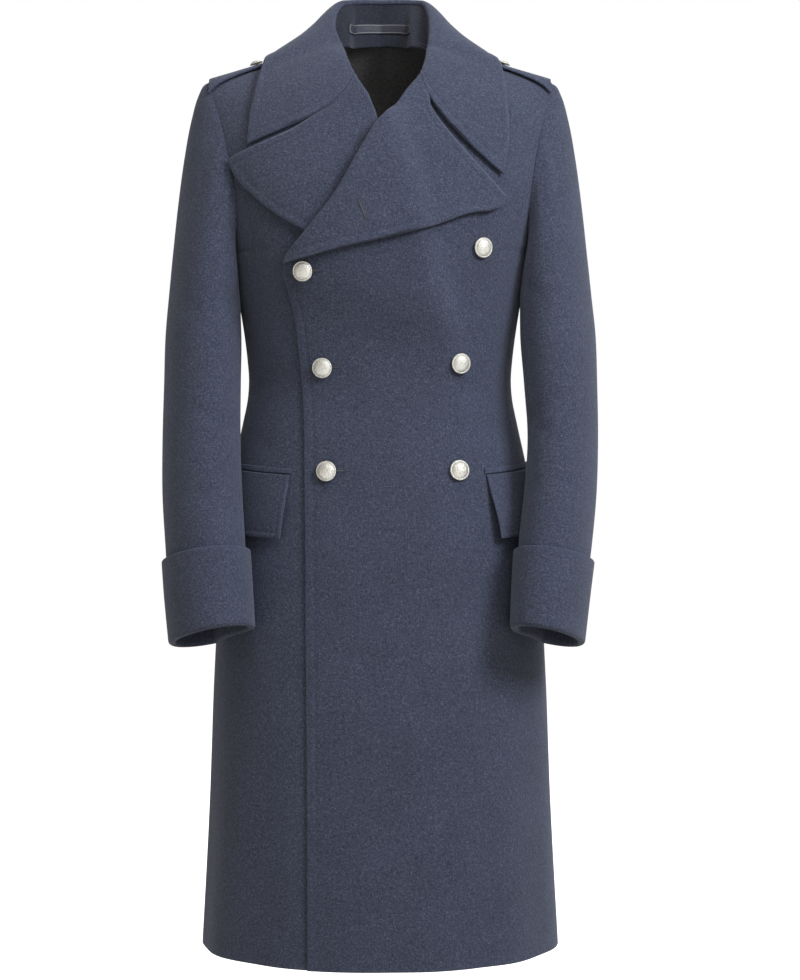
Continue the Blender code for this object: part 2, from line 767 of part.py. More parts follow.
def neck_seam(u, side):
    """A point of the neck seam: u 0 is the nape, 0.5 the shoulder seam and 1 the end of the collar."""
    if u <= 0.5:
        x = NECK_HALF_WIDTH * math.sin(math.pi * u)
        z = NAPE_RISE * (1 - (x / NECK_HALF_WIDTH) ** 2)
        return np.array([side * x, depth(x, z, False), z])
    z = -46 * (2 * u - 1) ** 1.4
    x = panel_edge_x(side, z)
    return np.array([side * x, -depth(x, z, True), z])


def collar_steps():
    half = [0.0, 0.1, 0.2, 0.29, 0.37, 0.45, 0.53, 0.61, 0.69, 0.77, 0.85, 0.93, 1.0]
    return [(u, -1) for u in half[:0:-1]] + [(u, 1) for u in half]


def collar_fold(u, side):
    x = read(COLLAR_FOLD, "x_left" if side > 0 else "x_right", u)
    return np.array([side * x, read(COLLAR_FOLD, "y", u), read(COLLAR_FOLD, "z", u)])


def collar_stand():
    """The standing inner part of the collar, from the neck seam up to the fold."""
    lines = []
    for u, side in collar_steps():
        if u > STAND_END:
            continue
        seam = neck_seam(u, side)
        fold = collar_fold(u, side)
        inward = np.array([-seam[0], -seam[1], 0])
        inward /= np.linalg.norm(inward)
        foot = seam + inward * (CLOTH + LAYER_GAP) + np.array([0, 0, 3.0])
        lower = ease((u - 0.45) / 0.3)
        head = fold + inward * 0.5 + np.array([0, 5.0 * lower, -2.0 - 4.0 * lower])
        lines.append([foot + (head - foot) * t for t in (0.0, 0.33, 0.66, 1.0)])
    grid = np.array(lines).transpose(1, 0, 2)
    normals = outward(grid, grid_normals(grid, False), (0, 0, -60))
    wall("collar_stand", grid, normals, CLOTH, "wool")
    return grid, normals


def collar_leaf(trees):
    """The turned-down part of the collar, from the fold out over the shoulders and chest."""
    rows = 8
    lines = []
    for u, side in collar_steps():
        name = "left" if side > 0 else "right"
        corners = CHEST_CORNERS[side]
        fold = collar_fold(u, side)
        edge = np.array([read(COLLAR_EDGE, axis + "_" + name, u) for axis in "xyz"])
        edge[0] *= side
        away = edge - fold
        away[2] = 0
        away /= np.linalg.norm(away)
        head = fold + np.array([0, 0, DOUBLE_CLOTH + 1.2])
        drop = edge - head
        bow_1 = head + away * 20 + np.array([0, 0, -3])
        bow_2 = head + drop * 0.62 + np.array([0, 0, 9])
        if u < 0.45:
            bow_2 = head + drop * 0.5 + away * 14
        on_chest = ease((u - 0.66) / 0.3)
        line = []
        for r in range(rows):
            t = r / (rows - 1)
            free = bow((head, bow_1, bow_2, edge), t)
            flat = bow(((abs(fold[0]), fold[2]), corners.leaf_bow_1, corners.leaf_bow_2, (abs(edge[0]), edge[2])), t)
            at_end = ease((u - 0.8) / 0.2)
            x = abs(free[0]) * (1 - at_end) + flat[0] * at_end
            z = free[2] * (1 - at_end) + flat[1] * at_end
            roll = COLLAR_ROLL_RISE * math.exp(-t * ROLL_FALL)
            rest = front_point(x, min(z, ridge_z(x) - 1), LAPEL_GAP + DOUBLE_CLOTH + roll)
            y = free[1] * (1 - on_chest) + rest[1] * on_chest
            place = np.array([side * x, y, z])
            clearance = COLLAR_GAP + DOUBLE_CLOTH
            line.append(keep_clear(place, trees, clearance) if r > 0 else place)
        lines.append(line)
    grid = np.array(lines).transpose(1, 0, 2)
    normals = outward(grid, grid_normals(grid, False), (0, 0, -200))
    wall("collar", grid, normals, DOUBLE_CLOTH, "wool")
    return grid


def label(stand, stand_normals):
    """The blank label on the inside of the collar stand."""
    half = LABEL_HALF_WIDTH
    rows = []
    for up in LABEL_ON_STAND:
        line = []
        for k in range(9):
            x = -half + 2 * half * k / 8
            row = up * (stand.shape[0] - 1)
            low = int(row)
            blend = stand[low] * (1 - row + low) + stand[low + 1] * (row - low)
            facing = stand_normals[low]
            c = max(i for i in range(stand.shape[1] - 1) if blend[i, 0] <= x)
            t = (x - blend[c, 0]) / (blend[c + 1, 0] - blend[c, 0])
            place = blend[c] * (1 - t) + blend[c + 1] * t
            normal = facing[c] * (1 - t) + facing[c + 1] * t
            line.append(place - normal * (CLOTH + LABEL_GAP))
        rows.append(line)
    grid = np.array(rows)
    normals = outward(grid, grid_normals(grid, False), (0, 0, grid[..., 2].mean()))
    wall("label", grid, normals, LABEL_CLOTH, "label_cloth")


def shoulder_height(x, y):
    """Height of the body's outer face at a place near the shoulder seam."""
    front = y <= 0
    wide = read(BODY_RINGS, "half_width", ridge_z(x))
    deep = read(BODY_RINGS, "front_depth" if front else "back_depth", 0)
    deep *= max(0.0, 1 - (x / wide) ** BODY_SQUARENESS) ** (1 / BODY_SQUARENESS)
    share = min(1.0, abs(y) / deep) ** CHEST_DOME
    return ARMPIT_Z + (ridge_z(x) - ARMPIT_Z) * (1 - share) ** (1 / CHEST_DOME)


def shoulder_strap(side):
    """A shoulder strap, sewn in at the armhole and pointed at its inner end."""
    name = "left" if side > 0 else "right"
    along, across = 7, 5
    grid = np.zeros((along, across, 3))
    for r in range(along):
        t = r / (along - 1)
        half = STRAP_HALF_WIDTH_INNER + (STRAP_HALF_WIDTH_OUTER - STRAP_HALF_WIDTH_INNER) * t
        for c in range(across):
            s = -1 + 2 * c / (across - 1)
            x = STRAP_INNER_X + STRAP_POINT * abs(s) * max(0.0, 1 - 4 * t)
            x += (STRAP_OUTER_X - STRAP_INNER_X) * t
            y = half * s
            drop = (ridge_z(x) - shoulder_height(x, y)) * STRAP_ARCH
            grid[r, c] = (side * x, y, ridge_z(x) - drop + LAYER_GAP + CLOTH + STRAP_REST)
    normals = outward(grid, grid_normals(grid, False), (side * 180, 0, -200))
    wall("strap_" + name, grid, normals, CLOTH + STRAP_EXTRA, "wool")
    return grid


def pocket_flap(side, front_tree):
    """A pocket flap over the hip, standing off the front a little at its front edge."""
    name = "left" if side > 0 else "right"
    rows, columns = 4, 8
    grid = np.zeros((rows, columns, 3))
    for r in range(rows):
        t = r / (rows - 1)
        front_x = FLAP_FRONT_TOP[side] * (1 - t) + FLAP_FRONT_FOOT[side] * t
        low_z = FLAP_TOP_Z - FLAP_DEPTH * t
        first = ring_angle(front_x, low_z)
        for c in range(columns):
            s = c / (columns - 1)
            z = low_z + FLAP_RISE * s
            off = LAYER_GAP + CLOTH + 1.2 * ease(t * 3) + FLAP_STANDS_OFF[side] * ease(t * 1.2) * (1 - s) ** 2
            place = ring_point(first + (FLAP_REACH_ANGLE - first) * s, z)
            place[0] *= side
            grid[r, c] = sit_on(place, front_tree, off)
    normals = outward(grid, grid_normals(grid, False), (0, 0, FLAP_TOP_Z - 40))
    wall("flap_" + name, grid, normals, CLOTH, "wool")
    strip = np.zeros((2, columns, 3))
    for r in range(2):
        for c in range(columns):
            s = c / (columns - 1)
            z = FLAP_TOP_Z + 2 + WELT_DEPTH * (1 - r) + FLAP_RISE * s
            first = ring_angle(FLAP_FRONT_TOP[side] - 2, z)
            place = ring_point(first + (FLAP_REACH_ANGLE - first) * s, z)
            place[0] *= side
            strip[r, c] = sit_on(place, front_tree, LAYER_GAP + WELT_CLOTH)
    normals = outward(strip, grid_normals(strip, False), (0, 0, FLAP_TOP_Z))
    wall("welt_" + name, strip, normals, WELT_CLOTH, "wool")


def button(name, place, facing, radius):
    """A domed button on a short shank, turned about its axis."""
    scale = radius / BUTTON_RADIUS
    profile = [
        (3.0, SHANK_GAP),
        (3.0, 2.8),
        (11.8, 2.6),
        (12.5, 4.0),
        (11.0, 6.2),
        (7.0, 8.4),
    ]
    sides = 12
    axis = np.array(facing, float)
    axis /= np.linalg.norm(axis)
    first = np.cross(axis, [0, 0, 1.0])
    if np.linalg.norm(first) < 0.1:
        first = np.cross(axis, [0, 1.0, 0])
    first /= np.linalg.norm(first)
    second = np.cross(axis, first)
    points = []
    for across, up in profile:
        for k in range(sides):
            angle = 2 * math.pi * k / sides
            turned = first * math.cos(angle) + second * math.sin(angle)
            points.append(place + axis * up * scale + turned * across * scale)
    points.append(place + axis * 9.3 * scale)
    points.append(place + axis * SHANK_GAP * scale)
    crown, foot = len(points) - 2, len(points) - 1
    faces = []
    for r in range(len(profile) - 1):
        for k in range(sides):
            a, b = r * sides + k, r * sides + (k + 1) % sides
            faces.append((a, b, b + sides, a + sides))
    last = (len(profile) - 1) * sides
    for k in range(sides):
        faces.append((last + k, last + (k + 1) % sides, crown))
        faces.append(((k + 1) % sides, k, foot))
    add_mesh(name, points, faces, "button_metal")


def buttons(front_tree):
    for name, (x, z) in BUTTON_PLACES.items():
        near, normal, _, _ = front_tree.find_nearest(Vector(front_point(x, z, overlap_lift(x, z))))
        facing = normal if normal.y < 0 else -normal
        button(name, np.array(near), facing, BUTTON_RADIUS)
    for side, name in ((1, "left"), (-1, "right")):
        x = SHOULDER_BUTTON_X
        top = ridge_z(x) + LAYER_GAP + CLOTH + STRAP_REST
        place = np.array([side * x, 0, top])
        button("button_shoulder_" + name, place, (side * SHOULDER_SLOPE, 0, 1), SHOULDER_BUTTON_RADIUS)


def lining(left, left_normals, right, right_normals):
    """The half lining inside the upper back, one piece for each side of its centre seam."""
    for name, grid, normals in (("left", left, left_normals), ("right", right, right_normals)):
        low, high = body_rows()
        keep = [r for r, z in enumerate(low) if z >= LINING_FOOT_Z]
        keep += [len(low) + k for k in range(len(high))]
        inner = grid[keep] - normals[keep] * (CLOTH + LAYER_GAP)
        inner = inner[:, :-1]
        wall("lining_" + name, inner, normals[keep][:, :-1], LINING_CLOTH, "lining_cloth")


def main():
    clear_scene()
    low, _ = body_rows()
    fronts = {side: front_grid(side) for side in (1, -1)}
    backs = {side: back_grid(side) for side in (1, -1)}
    front_normals = {}
    back_normals = {}
    for side, name in ((1, "left"), (-1, "right")):
        front_normals[side] = body_panel("front_" + name, fronts[side], False)
        back_normals[side] = body_panel("back_" + name, backs[side], True)
    body_trees = [surface_tree([fronts[1], fronts[-1], backs[1], backs[-1]])]
    for side in (1, -1):
        loop, loop_normals = armhole_loop(
            fronts[side], front_normals[side], backs[side], back_normals[side], len(low)
        )
        sleeve(side, loop, loop_normals, body_trees)
        front_tree = surface_tree([fronts[side]])
        lapel(side, front_tree)
        pocket_flap(side, front_tree)
    straps = [surface_tree([shoulder_strap(side)]) for side in (1, -1)]
    collar_leaf(body_trees + straps)
    stand, stand_normals = collar_stand()
    label(stand, stand_normals)
    lining(backs[1], back_normals[1], backs[-1], back_normals[-1])
    buttons(surface_tree([fronts[1]]))


main()
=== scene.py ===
"""Military greatcoat: the dressed model, laid out as a Blender add-on.

Every cloth piece is a thin shell on the same form as its solid in the frame: +X is the wearer's left, -Y the
front and +Z up. The form is worked out in millimetres and the meshes are in metres.
"""

import math
from collections import namedtuple

import bpy
import numpy as np
from bpy.props import FloatProperty, FloatVectorProperty, PointerProperty
from mathutils import Matrix, Vector
from mathutils.bvhtree import BVHTree


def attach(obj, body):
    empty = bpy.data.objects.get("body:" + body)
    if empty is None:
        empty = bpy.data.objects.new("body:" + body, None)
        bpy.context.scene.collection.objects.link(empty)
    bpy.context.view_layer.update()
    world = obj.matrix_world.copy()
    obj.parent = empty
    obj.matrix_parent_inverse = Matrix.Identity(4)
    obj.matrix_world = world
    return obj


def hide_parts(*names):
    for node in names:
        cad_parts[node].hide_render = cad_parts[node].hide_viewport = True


bl_info = {
    "name": "Military Greatcoat",
    "version": (1, 0, 0),
    "blender": (4, 5, 0),
    "location": "View3D > Sidebar > Greatcoat",
    "description": "Builds a double-breasted military greatcoat of heavy wool on its frame",
    "category": "Object",
}

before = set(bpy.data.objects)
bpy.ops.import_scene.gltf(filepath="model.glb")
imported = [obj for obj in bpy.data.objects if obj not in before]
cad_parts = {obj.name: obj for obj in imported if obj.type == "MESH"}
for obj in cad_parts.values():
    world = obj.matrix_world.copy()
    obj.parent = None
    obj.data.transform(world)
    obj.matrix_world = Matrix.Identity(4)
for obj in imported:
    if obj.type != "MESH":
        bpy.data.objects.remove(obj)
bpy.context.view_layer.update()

MM = 0.001
SIDES = ((1, "left"), (-1, "right"))
SIDE_NAMES = dict(SIDES)

# Places inside the coat, or behind it, that cloth faces away from
CHEST_MIDDLE = (0, 0, -200)
NECK_MIDDLE = (0, 0, -60)
BEHIND_NECK = (0, 500, 40)

# Cloth and gaps, as in the solids
CLOTH = 2.6
DOUBLE_CLOTH = 4.2
LINING_CLOTH = 1.2
LABEL_CLOTH = 0.7
WELT_CLOTH = 1.6
LAYER_GAP = 0.9
LAPEL_GAP = 2.6
TIP_LIFT = 2.5
LIFT_GAP = 5.6
CUFF_GAP = 1.8
LABEL_GAP = 1.5
COLLAR_GAP = 3.4

# How near one piece may come to another
ARM_CLEARANCE = 3.6
CUFF_CLEARANCE = 10.0
NO_CLEARANCE = -1000.0
CLEAR_REACH = 40.0
CLEAR_FACING = 0.7
LAPEL_FACING = 0.25
SHOULDER_Z = -40.0
SHOULDER_CENTRE = 200.0
PANEL_DROP = 40.0
ON_SEAM = 0.5
STRAP_EXTRA = 1.0
BUTTON_GAP = 0.4

# Main sizes of the coat
HEM_Z = -1160.0
HEM_DIP = 6.0
ARMPIT_Z = -270.0
NECK_HALF_WIDTH = 70.0
NECK_DOME = 0.25
SHOULDER_SLOPE = 0.29
NAPE_RISE = 16.0
NAPE_SHARE = 0.75
BODY_SQUARENESS = 2.3
CHEST_DOME = 1.8
BACK_DOME = 3.0
BACK_DOME_X = 60.0
BACK_DOME_RUN = 120.0
BODY_HALF_WIDTH = 200.0
BODY_HALF_DEPTH = 130.0

# Turned-back cuffs
CUFF_DEPTH = 96.0
CUFF_CLOTH = 2.4
CUFF_ROLL = 3.0
CUFF_TURN_IN = (5, 10, 16, 23, 30)
CUFF_LEAN_IN = 0.02

# Fold of the fronts, collar stand and collar leaf, lining
BREAK_Z = -285.0
BREAK_RUN = 40.0
ROLL_SETBACK = 3.0
STAND_END = 0.66
STAND_FOOT_IN = 1.4
STAND_FOOT_DROP = 7.0
STAND_HEAD_IN = 0.5
STAND_HEAD_DROP = 2.0
STAND_FRONT = 0.45
STAND_FRONT_RUN = 0.3
STAND_FRONT_BACK = 5.0
STAND_FRONT_DROP = 4.0
LEAF_RISE = 1.2
LEAF_BOW_OUT = 20.0
LEAF_BOW_DROP = 3.0
LEAF_SAG = (0.62, 9.0)
LEAF_BACK_BOW = (0.5, 14.0)
LEAF_BACK_END = 0.45
LEAF_CHEST = (0.66, 0.3)
LEAF_END = (0.8, 0.2)
NAPE_SETBACK = 1.2
LINING_FOOT_Z = -330.0

# Half widths and depths of the body, hem to shoulder
Ring = namedtuple("Ring", "z half_width front_depth back_depth")
BODY_RINGS = [Ring(*row) for row in (
    (-1160, 232, 170, 165),
    (-990, 222.5, 160, 158),
    (-775, 213.5, 148, 150),
    (-637, 204, 140, 145),
    (-546, 191, 133, 138),
    (-500, 181, 127, 126),
    (-440, 170, 121, 113),
    (-384, 174, 124, 112),
    (-320, 184, 131, 118),
    (-270, 192, 135, 124),
    (-180, 214, 135, 124),
    (-90, 232, 135, 124),
    (0, 238, 135, 124),
    (60, 240, 135, 124),
)]

# How far out the armhole seam lies at each height: front of each side, and back
Armhole = namedtuple("Armhole", "z front_left front_right back")
ARMHOLES = [Armhole(*row) for row in (
    (-270, 192, 192, 192),
    (-267, 190.5, 189, 193),
    (-258, 189, 185.5, 194),
    (-235, 189, 181, 196),
    (-207, 191, 181, 198),
    (-170, 196, 187, 201),
    (-130, 203, 196, 205),
    (-95, 211, 205, 210),
    (-60, 219, 217, 217),
    (-30, 226, 226, 226),
)]

# The free edge and roll line of each front, as seen on its own side of the centre
FrontEdge = namedtuple("FrontEdge", "z left right")
FRONT_EDGES = [FrontEdge(*row) for row in (
    (-1160, -88.4, -93),
    (-990, -89, -93),
    (-753, -91, -93),
    (-537, -93, -93),
    (-487, -93.6, -90),
    (-401, -99.7, -77),
    (-350, -106, -64),
    (-315, -113, -54),
    (-287, -116, -48),
    (-250, -88.5, -39),
    (-205, -54, -27),
    (-150, -23.5, -13),
    (-109, 2, 0),
    (-94, 15, 5),
    (-77, 27.5, 12.6),
    (-58, 41, 22),
    (-40, 52.5, 31),
    (-17, 61, 46),
    (0, 67, 64),
    (20, 73, 73),
)]

# Sleeve rings below the armpit: outer and inner reach of each side, and how the ring lies
SleeveRing = namedtuple(
    "SleeveRing", "z outer_left outer_right inner_left inner_right middle_y half_depth turn pitch roll"
)
SLEEVE_RINGS = [SleeveRing(*row) for row in (
    (-325, 274, 273, 178, 176, -24, 74, 12, 6, 0),
    (-370, 278, 276, 179, 176, -34, 71, 14, 8, 0),
    (-435, 279.5, 277, 184, 177, -47, 69, 15, 10, 0),
    (-505, 279.5, 277.5, 188, 176.5, -63, 66, 16, 12, 0),
    (-575, 276, 276, 183, 173, -80, 65, 16, 13, 3),
    (-635, 269, 271, 176, 169, -95, 63, 16, 13, 6),
    (-690, 261, 266, 172, 165, -109, 61, 16, 13, 9),
    (-750, 253, 259, 169, 161, -123, 60, 16, 13, 11),
)]
SLEEVE_CAP_STEPS = [0.08, 0.18, 0.32, 0.48, 0.65, 0.83]
CAP_OUT = 0.24
CAP_OUT_TOP = 0.04
CAP_AHEAD = 0.12
CAP_FALL = 0.30
CAP_UNDER = 0.06
CAP_END = 0.95
CAP_ROW_CLEARANCE = 2.4
HIP_Z = -430.0
HIP_RUN = 90.0
SLEEVE_FRONT_SEAM = 0.385
SLEEVE_BACK_SEAM = 0.677

# The collar's fold, half way round from the nape, and its outer edge on each side
Fold = namedtuple("Fold", "u x_left x_right y z")
COLLAR_FOLD = [Fold(*row) for row in (
    (0.0, 0, 0, 68, 69),
    (0.12, 22, 20, 66, 69),
    (0.25, 44, 40, 60, 67.5),
    (0.36, 60, 54, 47, 63),
    (0.46, 66, 61, 25, 48),
    (0.56, 67, 62, 4, 29),
    (0.7, 65, 55, -18, 6),
    (0.85, 60, 44, -45, -17),
    (1.0, 51, 31, -73, -41),
)]
Edge = namedtuple("Edge", "u x_left y_left z_left x_right y_right z_right")
COLLAR_EDGE = [Edge(*row) for row in (
    (0.0, 0, 112, -30, 0, 112, -30),
    (0.12, 38, 111, -31, 38, 111, -31),
    (0.25, 76, 100, -31, 75, 100, -31),
    (0.36, 110, 78, -27, 107, 78, -27),
    (0.46, 136, 44, -17, 132, 44, -17),
    (0.56, 146, 6, -11, 143, 6, -10),
    (0.7, 157, -36, -29, 151, -32, -25),
    (0.85, 163, -76, -82, 159, -62, -60),
    (0.93, 163.5, -100, -128, 164, -84, -94),
    (1.0, 156, -120, -172, 167, -112, -133),
)]

# Corner points of the fronts of collar and lapels, x and z on the chest
Corners = namedtuple("Corners", "leaf_bow_1 leaf_bow_2 top_z top_bow_1 top_bow_2 tip")
CHEST_CORNERS = {
    1: Corners((60, -85), (100, -125), -47, (56, -97), (100, -136), (157, -201)),
    -1: Corners((50, -96), (105, -105), -50, (50, -106), (115, -115), (189, -151)),
}
LapelEdge = namedtuple("LapelEdge", "s x_left z_left x_right z_right")
LAPEL_EDGE = [LapelEdge(*row) for row in (
    (0.0, 157, -201, 189, -151),
    (0.06, 147, -214, 181, -170),
    (0.2, 112, -223, 152, -203),
    (0.4, 62, -242, 112, -234),
    (0.6, 8, -256, 62, -262),
    (0.8, -50, -268, 5, -287),
    (1.0, -112, -284, -46, -300),
)]
LAPEL_ROLL_FOOT_Z = {1: -276.0, -1: -288.0}
COVERED_Z = -80.0
COVERED_RUN = 20.0
LAPEL_ROLL_RISE = 3.5
LEAF_ROLL_RISE = 4.0
ROLL_FADE = 5.0
NECK_FRONT_DROP = 46.0
NECK_FRONT_POWER = 1.4

# How the left front rises over the right one, and over the lapel under it
CROSSING_Z = -84.0
CROSSING_RUN = 22.0
LAP_REACH = 50.0
LAP_RUN = 42.0
LAPEL_REACH = 42.0
LAPEL_RUN = 34.0
LAPEL_FOOT_X = -97.0
LAPEL_FOOT_Z = -246.0
LAPEL_FOOT_SLOPE = 0.367
LAPEL_FOOT_EASE = 112.0
LAPEL_FOOT_RUN = 92.0

# Buttons and buttonholes
BUTTON_RADIUS = 12.5
SHOULDER_BUTTON_RADIUS = 8.5
BUTTON_SIDES = 64
BUTTON_RIM = ((0.35, 0.3), (0.45, 0.05), (0.3, -0.3), (0.5, 0.0))
BUTTON_SHANK = ((0.6, 0.3), (8.6, 0.0), (0.3, 1.9))
BUTTON_DOME = ((0.4, 0.9), (0.9, 1.0), (1.4, 0.95), (1.8, 0.75), (2.1, 0.55), (2.2, 0.3), (1.4, 0.08))
BUTTON_PLACES = {
    "button_top_left": (129, -265),
    "button_top_right": (-91, -295),
    "button_waist_left": (100, -410),
    "button_waist_right": (-70, -416),
    "button_low_left": (98.5, -545),
    "button_low_right": (-65, -546),
}
SHOULDER_BUTTON_X = 159.5
BUTTONHOLE_OFFSET = (11, 1)
BUTTONHOLE_LENGTH = 24
BUTTONHOLE_OUT = 0.1
BUTTONHOLE_HALF_WIDTH = 1.35
PURL_POINTS = 72
PURL_RADIUS = 0.62
PURL_SWELL = 0.16
PURL_LEAN = 0.15
SLIT_SHARE = 0.97
SLIT_DEPTH = 0.5
LAPEL_HOLE_PLACE = (-20.0, -221.0)
LAPEL_HOLE_ANGLE = -68
LAPEL_HOLE_LENGTH = 29

# Shoulder straps
STRAP_INNER_X = 137.0
STRAP_OUTER_X = 221.0
STRAP_HALF_WIDTH_INNER = 19.0
STRAP_HALF_WIDTH_OUTER = 25.0
STRAP_POINT = 9.0
STRAP_ARCH = 0.7

# Pocket flaps: front edge at its top and foot on each side, in x
FLAP_TOP_Z = -551.0
FLAP_DEPTH = 80.0
FLAP_FRONT_TOP = {1: 134.0, -1: 112.0}
FLAP_FRONT_FOOT = {1: 147.0, -1: 121.0}
FLAP_REACH_ANGLE = 82.0
FLAP_RISE = 8.0
FLAP_STANDS_OFF = {1: 9.0, -1: 5.0}
FLAP_EASE = 1.2
WELT_DEPTH = 6.0
WELT_OFFSET = 2.0

# Collar stand and its label
# Factor that darkens the collar stand's wool: painted shade for the shadow inside the neck
STAND_PAINTED_SHADE = 0.27
LABEL_HALF_WIDTH = 41.5
LABEL_ON_STAND = (0.54, 0.39)
NAPE_REACH = 47.0

# Soft folds of the body by angle round it (0 the centre front, 90 the left side seam) and height.
# A fold with open 1 runs out over the hem, and one with open 0 fades at both ends.
SoftFold = namedtuple("SoftFold", "at_1 z_1 at_2 z_2 width deep open")
BODY_FOLDS = [SoftFold(*row) for row in (
    (64, -452, 34, -428, 9, 1.5, 0),
    (72, -486, 36, -497, 11, 1.3, 0),
    (58, -372, 36, -396, 10, 1.0, 0),
    (-76, -448, -50, -424, 9, 1.5, 0),
    (-72, -496, -52, -522, 9, 1.1, 0),
    (66, -345, 60, -225, 15, 1.1, 0),
    (-66, -350, -59, -222, 15, 2.4, 0),
    (63, -640, 67, -1160, 25, 3.6, 1),
    (50, -720, 53, -1160, 24, -2.0, 1),
    (34, -780, 37, -1160, 28, 2.4, 1),
    (8, -860, 6, -1160, 30, 1.6, 1),
    (-46, -660, -50, -1160, 24, 3.2, 1),
    (-62, -760, -65, -1160, 20, -1.8, 1),
    (-75, -690, -78, -1160, 22, 2.8, 1),
    (162, -424, 120, -440, 10, 1.6, 0),
    (-160, -433, -118, -419, 10, 1.8, 0),
    (150, -470, 122, -489, 10, 1.2, 0),
    (-148, -462, -116, -482, 9, 1.3, 0),
    (142, -110, 128, -232, 20, 2.0, 0),
    (-143, -122, -127, -238, 20, 2.2, 0),
    (150, -640, 155, -1160, 28, 4.2, 1),
    (-147, -660, -151, -1160, 26, 3.9, 1),
    (133, -760, 136, -1160, 24, -2.2, 1),
    (119, -720, 121, -1160, 24, 3.3, 1),
    (-120, -700, -125, -1160, 23, 3.5, 1),
    (-134, -800, -138, -1160, 22, -2.0, 1),
    (95, -800, 97, -1160, 20, 2.0, 1),
    (-98, -780, -101, -1160, 22, 2.3, 1),
)]
# Soft folds of each sleeve by angle round it (0 outer side, 90 front) and height
SLEEVE_FOLDS = {
    1: [
        SoftFold(58, -448, 150, -486, 10, 2.2, 0),
        SoftFold(74, -506, 160, -470, 9, 1.9, 0),
        SoftFold(48, -552, 132, -570, 11, 1.5, 0),
        SoftFold(300, -420, 232, -470, 12, 1.8, 0),
        SoftFold(16, -318, 82, -372, 13, 1.5, 0),
        SoftFold(200, -560, 262, -532, 10, 1.6, 0),
        SoftFold(90, -330, 150, -300, 12, 2.0, 0),
    ],
    -1: [
        SoftFold(52, -462, 146, -498, 10, 2.4, 0),
        SoftFold(66, -520, 150, -486, 9, 1.7, 0),
        SoftFold(40, -566, 128, -590, 11, 1.4, 0),
        SoftFold(306, -434, 236, -478, 12, 2.0, 0),
        SoftFold(10, -300, 84, -364, 14, 1.7, 0),
        SoftFold(204, -572, 258, -540, 10, 1.5, 0),
        SoftFold(92, -342, 152, -306, 12, 2.2, 0),
    ],
}
OPEN_FOLD_RATE = 1.15
OPEN_FOLD_POWER = 1.3
CLOSED_FOLD_POWER = 0.7
MM_PER_BODY_DEGREE = 3.1
MM_PER_SLEEVE_DEGREE = 1.35

# How finely the cloth is cut up
NEAR_STEP = 2.2
FAR_STEP = 7.0
RIM_STEPS = 4
SEAM_REACH = 0.4
FAR_OFF = 1000.0
STEP_SHARE = 0.75
STEP_GROWTH = 0.22
SLEEVE_TUCK = 0.7

# Rolls of lapels and collar
LAPEL_ROLL_RADIUS = 4.7
COLLAR_ROLL_RADIUS = 4.7
ROLL_ANGLES = [145, 122, 98, 74, 50, 28, 12]

# The gorge, where the collar's ends are sewn to the lapels' tops
GORGE_LENGTH = {1: 38.0, -1: 82.0}
GORGE_EASE = {1: 10.0, -1: 40.0}
GORGE_SEWN = 42.0
GORGE_REACH = 34.0
GORGE_OVERLAP = 2.0
NOTCH_GAP = 1.2
NOTCH_RUN = 6.0

# How the cloth lies at its seams and stitches
STITCH_SINK = 0.55
STITCH_GROOVE = 1.5
EDGE_SWELL = 0.35
EDGE_SWELL_WIDTH = 0.32
THREAD_SINK = 0.12
BACK_PLEAT = 0.8
BACK_PLEAT_X = 9.0
BACK_PLEAT_SPREAD = 16.0
BACK_PLEAT_Y = 20.0
LINING_SEAM = 0.4
LOOP_POINTS = 56
CUFF_POINTS = 84

# Studio, in metres and watts
AMBIENT = (0.27, 0.25, 0.225)
WHITE = (1.0, 1.0, 1.0)
FLOOR_GLOW = 0.8
FLOOR_SIZE = 60.0
FLOOR_Z = -1.34
COAT_MIDDLE = (0, 0, -0.5)
Lamp = namedtuple("Lamp", "name place size power colour")
LAMPS = [
    Lamp("key light", (2.22, -2.0, 1.56), 1.2, 88, (0.94, 0.98, 1.04)),
    Lamp("fill light", (-2.6, -2.4, 0.4), 2.4, 3, (1.0, 0.95, 0.86)),
    Lamp("top light", (0.1, -1.1, 2.0), 1.5, 20, (1.0, 0.97, 0.92)),
    Lamp("front light", (0.5, -3.2, -0.1), 1.2, 7, (1.0, 0.98, 0.95)),
    Lamp("back light", (0.4, 3.2, 1.4), 2.2, 60, WHITE),
]
EYE_PLACE = (0.026, -3.3, -0.494)
FOCAL_PIXELS = 2538
DROP_PIXELS = 60
FRAME_PIXELS = 980
SENSOR = 36


def length_property(name, description, default):
    return FloatProperty(name=name, description=description, default=default, unit="LENGTH")


def colour_property(name, description, default):
    return FloatVectorProperty(name=name, description=description, default=default, subtype="COLOR", size=3)


class GreatcoatSizes(bpy.types.PropertyGroup):
    """Sizes of the sewing and the nap."""

    stitch_inset: length_property("Stitch inset", "Distance of the topstitching from an edge", 0.0115)
    small_inset: length_property("Small inset", "Topstitching inset on flaps and straps", 0.007)
    stitch_length: length_property("Stitch length", "Length of one stitch", 0.003)
    stitch_pitch: length_property("Stitch pitch", "Distance from one stitch to the next", 0.0038)
    thread_width: length_property("Thread width", "Thickness of the sewing thread", 0.0006)
    nap_height: length_property("Nap height", "Height of the wool's felted nap", 0.0009)


class GreatcoatColours(bpy.types.PropertyGroup):
    """Colours of cloth, metal and stage."""

    wool: colour_property("Wool", "Middle tone of the wool", (0.048, 0.0585, 0.102))
    wool_light: colour_property("Light fibre", "Pale fibres", (0.15, 0.168, 0.235))
    wool_dark: colour_property("Dark fibre", "Dark fibres", (0.02, 0.024, 0.045))
    lining: colour_property("Lining", "Lining cloth", (0.085, 0.084, 0.086))
    metal: colour_property("Button metal", "Pale metal of the buttons", (0.72, 0.71, 0.65))
    floor: colour_property("Floor", "Studio floor", (0.86, 0.86, 0.86))


